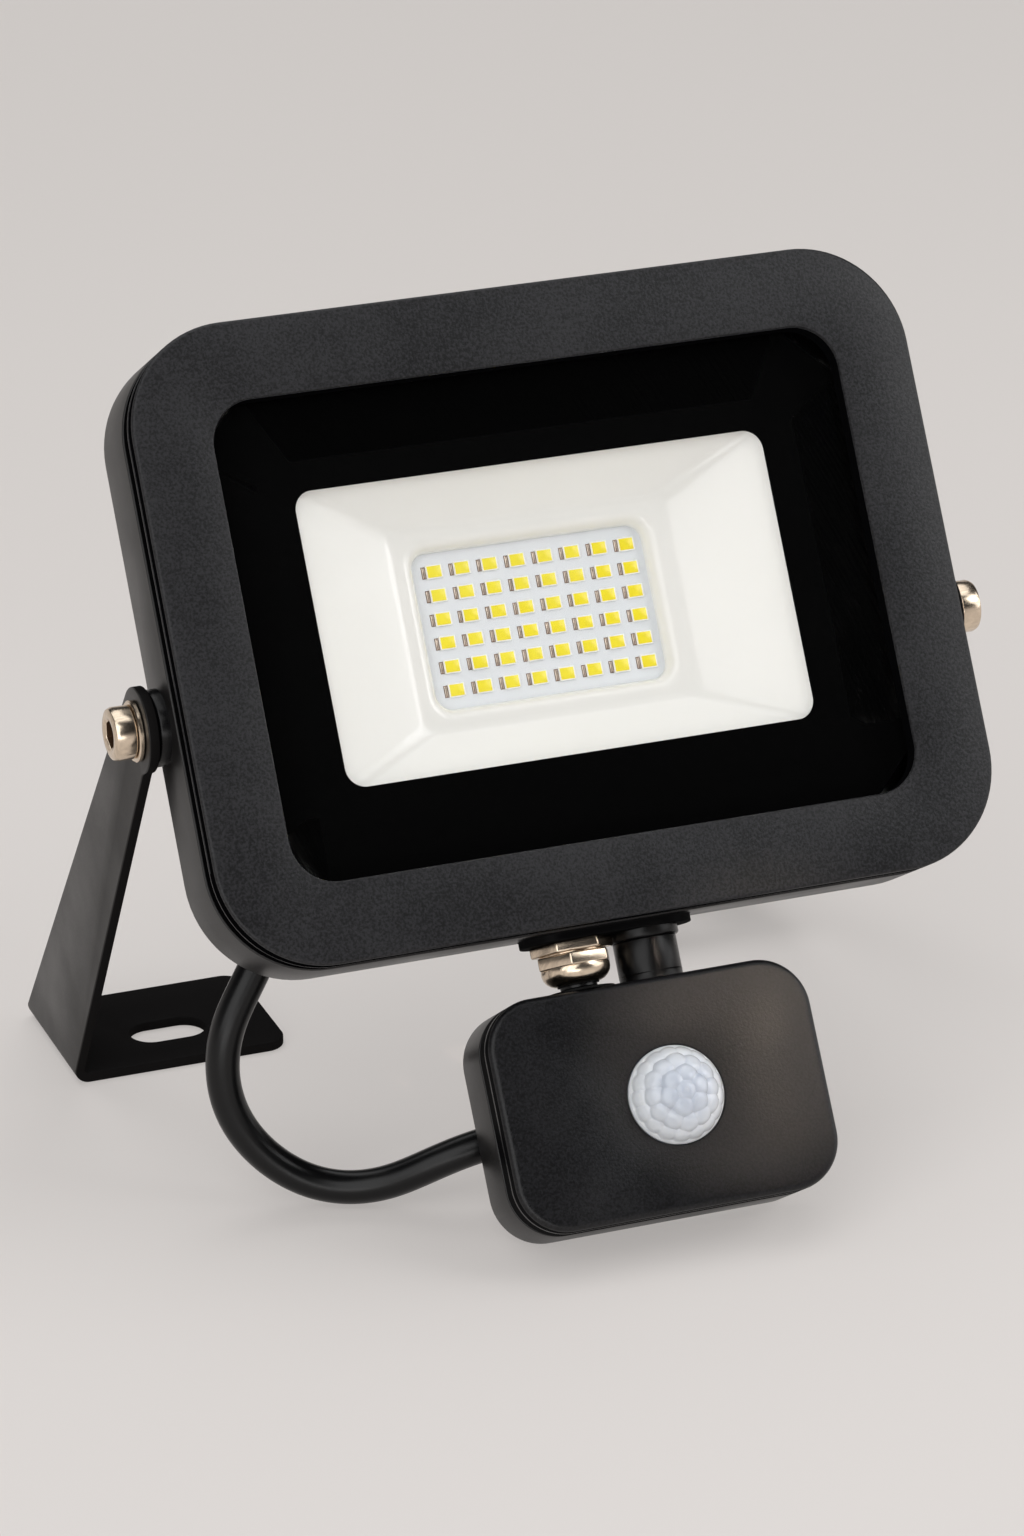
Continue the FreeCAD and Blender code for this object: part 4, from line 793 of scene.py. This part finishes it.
# %% [markdown]
# Below the gland the link cable's rubber has a ring and a groove. Bump could only shade those, and
# they show in the outline, so they are in the profile.

# %% Link cable
CABLE = 4.0
cable_form = turned([(0, -4), (CABLE, -4), (CABLE, -10.0), (CABLE + 0.35, -10.15), (CABLE + 0.35, -10.7),
                     (CABLE - 0.3, -10.9), (CABLE - 0.3, -11.3), (CABLE, -11.5), (CABLE, -17), (0, -17)])
link = finished(cable_form, "link_cable_skin", cord_skin, "lamp", LAMP @ at_gland)
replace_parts(link, "link_cable")

# %% [markdown]
# Beside the gland the post stands in a collar, and a short boot closes the gap between the post's shoulder
# and the sensor. The sensor tilts a few degrees under the fixed post, so a stiff boot would open a gap or
# cut in. Here the boot is one stiff sleeve that rides no body.

# %% Post, collar and boot
POST, COLLAR, SHOULDER, SENSOR_TOP, BORE = 7.4, 8.2, -10.3, -12.0, 6.2
BOOT_BORE, BOOT_END = 5.9, SENSOR_TOP + 0.05
rounded_copy("sensor_post", 0.3, gloss_black, "lamp")
collar_form = turned([(BORE, 0), (COLLAR, 0), (COLLAR, -1.7), (COLLAR - 0.15, -2.0),
                      (COLLAR - 0.45, -2.2), (BORE, -2.2), (BORE, 0)])
collar = finished(collar_form, "post_collar_ring", gloss_black, "lamp", LAMP @ at_post)
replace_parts(collar, "post_collar")

boot_form = turned([(BOOT_BORE, SHOULDER + 0.1), (POST, SHOULDER + 0.1), (POST + 0.05, SHOULDER),
                    (POST, SHOULDER - 0.2), (POST, SENSOR_TOP + 0.3), (POST, BOOT_END),
                    (BOOT_BORE, BOOT_END), (BOOT_BORE, SHOULDER + 0.1)])
boot = finished(boot_form, "post_boot", gloss_black, None, LAMP @ at_post)
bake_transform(boot)

# %% [markdown]
# The sensor's lens is a dome of small bulging cells, each of which throws the scene on the element
# behind. A cell pattern in a bump map would leave the outline smooth, and separate cells would need
# to be fitted to each other. So a fine sphere is cut to a cap, and each point sinks with the cube
# of its distance from the nearest cell centre. The centres stand in rings.

# %% Lens
CELL_DEPTH, CELL_SIZE, RIM_FADE, SKIRT = 0.36 * MM, 2.2 * MM, 1.6 * MM, 1.5 * MM
BALL = (LENS_RADIUS ** 2 + LENS_RISE ** 2) / (2 * LENS_RISE)
CELL_RINGS = [(1, 0, 0), (6, 20, 12), (12, 40, 0), (17, 60, 8), (22, 79, 0)]
UNEVEN_TILT, UNEVEN_BELOW = 2.2, 15


def cell_centres():
    """Points on the ball: a middle cell and rings of (count, tilt, first turn) cells round it."""
    centres = []
    for count, tilt, start in CELL_RINGS:
        for step in range(count):
            around = math.radians(start + 360 * step / count)
            uneven = UNEVEN_TILT if step % 2 and count < UNEVEN_BELOW else 0
            down = math.radians(tilt + uneven)
            centres.append(Vector((math.sin(down) * math.cos(around), -math.cos(down),
                                   math.sin(down) * math.sin(around))) * BALL)
    return centres


def lens_cap():
    """Cap of a ball that bulges at each cell centre, with a short skirt."""
    form = bmesh.new()
    bmesh.ops.create_icosphere(form, subdivisions=7, radius=BALL)
    plane = LENS_RISE - BALL
    everything = form.verts[:] + form.edges[:] + form.faces[:]
    bmesh.ops.bisect_plane(form, geom=everything, plane_co=(0, plane, 0), plane_no=(0, 1, 0),
                           clear_outer=True)
    centres = cell_centres()
    for point in form.verts:
        near = min((point.co - c).length for c in centres)
        inside = min(1, max(0, (plane - point.co.y) / RIM_FADE))
        point.co *= 1 - inside * CELL_DEPTH * (near / CELL_SIZE) ** 3 / BALL
    rim = [e for e in form.edges if e.is_boundary]
    skirt = bmesh.ops.extrude_edge_only(form, edges=rim)["geom"]
    low = [v for v in skirt if isinstance(v, bmesh.types.BMVert)]
    bmesh.ops.translate(form, verts=low, vec=(0, SKIRT, 0))
    return form


ball_middle = Matrix.Translation((LENS_X, COVER_FACE + BALL - LENS_RISE, LENS_Z))
lens = finished(lens_cap(), "lens_cells", lens_milk, "sensor", SENSOR @ ball_middle)
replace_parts(lens, "lens_dome")

# %% [markdown]
# The tray behind the glass has four sloped sides that meet in narrow creases. They run out into a
# level shelf, whose edge rounds over into the well. A block with a hollow cut in it would need its
# rounds made one by one. The rings give them directly, and the sheet gets its thickness last.

# %% Reflector tray
TRAY_SHEET = 0.6 * MM
TRAY_RINGS = [
    (158, 116, 13, 9.85), (121, 75, 4, 9.86), (119.8, 73.8, 3.4, 10.3), (71.2, 49.8, 3.6, 19.75),
    (69.2, 48.2, 4.0, 20.05), (67.4, 46.6, 4.6, 20.2), (65.6, 45.0, 5.2, 20.24), (63.2, 42.8, 5.6, 20.2),
    (62.0, 41.7, 5.7, 20.28), (60.9, 40.6, 5.5, 20.55), (59.8, 39.4, 5.1, 21.1), (58.9, 38.5, 4.7, 21.9),
    (58.4, 38, 4.5, 22.8), (58.4, 38, 4.5, 23.55),
]
tray = ringed(TRAY_RINGS, closed=False)
bmesh.ops.recalc_face_normals(tray, faces=tray.faces)
bmesh.ops.solidify(tray, geom=tray.faces[:], thickness=TRAY_SHEET)
tray = finished(tray, "reflector_tray", tray_white, "lamp", LAMP)
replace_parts(tray, "reflector")

# %% [markdown]
# Each emitter is a white body with a slab of yellow gel in its face. Beside it the board shows a
# brown pad with two bright beads of solder. A painted grid would look flat under the glass. With 48
# emitters, an object for each piece would be a burden, so all bodies make one object, and so do all
# gels, all pads and all beads.

# %% Emitters
COLUMNS, ROWS, PITCH_X, PITCH_Z = 8, 6, 6.82, 5.6
ARRAY_X, BOARD_FRONT = 0.75, 23.6
BODY, GEL, GEL_SHIFT = (3.95, 0.7, 3.2), (3.35, 0.2, 2.7), -0.03
PAD, PAD_OUT, PAD_RISE = (0.95, 0.12, 2.8), 0.5, 0.05
BEAD, BEADS_OUT, BEAD_RISE = (0.26, 0.2, 2.5), (0.72, 0.3), 0.12


def box_at(form, centre, size):
    """Adds a box to a form, by a centre and a size in mm."""
    made = bmesh.ops.create_cube(form, size=1)["verts"]
    bmesh.ops.scale(form, verts=made, vec=[length * MM for length in size])
    bmesh.ops.translate(form, verts=made, vec=[place * MM for place in centre])


bodies, gels, pads, beads = (bmesh.new() for _ in range(4))
for row in range(ROWS):
    for column in range(COLUMNS):
        x = ARRAY_X + (column - (COLUMNS - 1) / 2) * PITCH_X
        z = (row - (ROWS - 1) / 2) * PITCH_Z
        edge = x - BODY[0] / 2
        box_at(bodies, (x, BOARD_FRONT - BODY[1] / 2, z), BODY)
        box_at(gels, (x + GEL_SHIFT, BOARD_FRONT - BODY[1], z), GEL)
        box_at(pads, (edge - PAD_OUT, BOARD_FRONT - PAD_RISE, z), PAD)
        for out in BEADS_OUT:
            box_at(beads, (edge - out, BOARD_FRONT - BEAD_RISE, z), BEAD)
soften(bodies, 0.07, 2)
soften(gels, 0.05, 2)
soften(beads, 0.08, 2)
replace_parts(finished(bodies, "emitter_bodies", led_white, "lamp", LAMP), "led_packages")
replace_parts(finished(gels, "emitter_gels", led_yellow, "lamp", LAMP), "led_phosphors")
finished(pads, "solder_pads", pad_brown, "lamp", LAMP)
finished(beads, "solder_beads", bead_silver, "lamp", LAMP)

# %% [markdown]
# The solids that stay visible need a finish as well, and so do the ones that a new piece stands for
# or that hide inside, because they may be shown alone. One table says which finish each one gets.

# %% Give every solid its finish
FINISHES = {
    powder: ["front_bezel"],
    wall_coat: ["rear_housing", "driver_lid"],
    leg_coat: ["left_leg", "right_leg"],
    sensor_grain: ["sensor_front_cover", "inlet_gland"],
    sensor_wall: ["sensor_rear_shell"],
    soft_rubber: ["bezel_gasket", "gland_seal", "link_grommet", "cord_bush"],
    cord_skin: ["link_cable", "supply_cord"],
    gloss_black: ["post_collar", "sensor_post"],
    mask_black: ["glass_mask"],
    nickel: ["pivot_screws", "pivot_washers", "lid_screws", "case_screws", "gland_body", "gland_cap",
             "sensor_screws", "tilt_pin", "pir_element"],
    tray_white: ["reflector"],
    board_white: ["led_board"],
    led_white: ["led_packages"],
    led_yellow: ["led_phosphors"],
    board_green: ["driver_board", "sensor_board"],
    lens_milk: ["lens_dome"],
    glass_clear: ["glass"],
}


def wear(piece, finish):
    """Gives a piece one finish in place of any other."""
    piece.data.materials.clear()
    piece.data.materials.append(finish)


for finish, names in FINISHES.items():
    for name in names:
        wear(nodes[name], finish)
wear(cord, cord_skin)
print("finished", sum(len(names) for names in FINISHES.values()), "nodes")

# %% [markdown]
# The object stands on a pale floor that runs far back. Lit only by the lamps it would be uneven, and more
# light would also fall on the object. So the rays that come from the camera, or from shiny and clear faces,
# see the floor partly as a soft glow of its own. That glow is paler near the object and dimmer further
# back, a painted pool of light. The rest is paint that takes the object's shadow.

# %% Floor
PALE, FLOOR_REACH = colour(216, 211, 208), 12
GLOW_SHARE, GLOW_NEAR, GLOW_FAR = 0.45, colour(233, 228, 225), colour(220, 215, 211)
floor_mesh = bmesh.new()
bmesh.ops.create_grid(floor_mesh, x_segments=1, y_segments=1, size=FLOOR_REACH)
floor_data = bpy.data.meshes.new("floor")
floor_mesh.to_mesh(floor_data)
floor_mesh.free()
floor = bpy.data.objects.new("floor", floor_data)
bpy.context.scene.collection.objects.link(floor)

ground = Finish("floor_paint")
cloud = ground.noise(ground.place(), 2.0)
darker = tuple(c * 0.985 for c in PALE)
ground.set(Base_Color=ground.mix(ground.ramp(cloud, 0.3, 0.7), PALE, darker))
ground.set(Roughness=0.9, Specular_IOR_Level=0.1)
rays = [ground.node("ShaderNodeLightPath", output=f"Is {kind} Ray")
        for kind in ("Camera", "Glossy", "Transmission")]
seen = (rays[0] + rays[1] + rays[2]).math("MINIMUM", 1.0) * GLOW_SHARE
back_there = ground.node("ShaderNodeSeparateXYZ", None, {0: ground.place()}, output="Y")
# Painted pool of light: the glow fades from near to far.
painted_light_pool = ground.mix(ground.ramp(back_there, -0.4, 0.8), GLOW_NEAR, GLOW_FAR)
glow = ground.node("ShaderNodeEmission", None, {"Color": painted_light_pool, "Strength": 1.0})
ground.surface(seen, ground.main(), glow)
wear(floor, ground.data)
print("floor glows by", GLOW_SHARE, "where it is seen")

# %% [markdown]
# The room is bright near the horizon and dark higher up. An even world would put a grey veil on
# everything. The casing's face leans back and mirrors the upper part, so it stays deep black, while
# the sides and the metal catch the bright band. The same class that makes materials makes the world.

# %% World
SKY_LOW, SKY_HIGH = math.radians(1), math.radians(20)
SKY_DARK = (0.016, 0.0165, 0.018)
studio = Finish("studio", bpy.data.worlds.new("studio"), "Background", "World Output")
direction = studio.node("ShaderNodeTexCoord", output="Generated")
height = studio.node("ShaderNodeSeparateXYZ", None, {0: direction}, output="Z")
band = studio.ramp(height, math.sin(SKY_LOW), math.sin(SKY_HIGH))
studio.set(Color=studio.mix(band, PALE, SKY_DARK), Strength=1.0)
bpy.context.scene.world = studio.data
print("world is dark above", round(math.degrees(SKY_HIGH)), "degrees")

# %% [markdown]
# Big soft boxes to the left, to the right and above light the object at a plain level, and a low one
# in front fills the faces that the others miss. Small bright lamps would show as white spots in the
# glass. A weak small one stands near, so that the bezel gets paler towards its upper right.

# %% Soft lamps
def softbox(name, place, target, wide, high, watts):
    """Rectangular lamp at a place that looks at a target."""
    light = bpy.data.lights.new(name, "AREA")
    light.shape = "RECTANGLE"
    light.size, light.size_y = wide, high
    light.energy = watts
    lamp = bpy.data.objects.new(name, light)
    lamp.location = place
    lamp.rotation_euler = (Vector(target) - Vector(place)).to_track_quat("-Z", "Y").to_euler()
    bpy.context.scene.collection.objects.link(lamp)


LOW_MIDDLE = (0, 0, 0.08)
softbox("left_softbox", (-1.45, -1.4, 1.5), LOW_MIDDLE, wide=2.2, high=2.2, watts=30)
softbox("front_fill", (-0.9, -2.1, 0.3), LOW_MIDDLE, wide=1.8, high=0.5, watts=7)
softbox("near_right", (0.66, -0.5, 0.78), (0, 0, 0.1), wide=0.45, high=0.45, watts=1.9)
softbox("right_softbox", (1.7, -0.7, 0.9), LOW_MIDDLE, wide=1.6, high=1.4, watts=12)
softbox("top_softbox", (0, 0.6, 2.4), (0, 0.1, 0.05), wide=3.0, high=3.0, watts=44)

# %% [markdown]
# The sensor's face has a warm sheen beside the lens. Light seen in a shiny face comes from the
# direction in which the line of sight is mirrored there. So a narrow warm lamp stands on that line,
# where it wakes the sheen and hardly lights anything else.

# %% Narrow warm lamp
SHEEN_X, SHEEN_Z, SHEEN_WIDE, SHEEN_FROM, BULB = 19 * MM, -10 * MM, 17 * MM, 1.0, 0.03


def snoot(name, target, normal, distance, wide, watts, shade):
    """Narrow soft beam from where the camera's view of a spot is mirrored."""
    to_camera = (eye - target).normalized()
    mirrored = 2 * to_camera.dot(normal) * normal - to_camera
    light = bpy.data.lights.new(name, "SPOT")
    light.energy, light.color = watts, shade
    light.shadow_soft_size = BULB
    light.spot_size, light.spot_blend = 2 * math.atan(wide / distance), 1.0
    lamp = bpy.data.objects.new(name, light)
    lamp.location = target + mirrored * distance
    lamp.rotation_euler = (-mirrored).to_track_quat("-Z", "Y").to_euler()
    bpy.context.scene.collection.objects.link(lamp)
    print(name, "at", [round(c, 2) for c in lamp.location])


sheen_spot = SENSOR @ Vector((SHEEN_X, COVER_FACE, SHEEN_Z))
snoot("sensor_sheen", sheen_spot, sensor_front, distance=SHEEN_FROM, wide=SHEEN_WIDE, watts=64,
      shade=(1.0, 0.84, 0.7))
bpy.context.scene.view_settings.view_transform = "Standard"

# %% [markdown] The view transform is set to Standard just above, and nothing more follows.
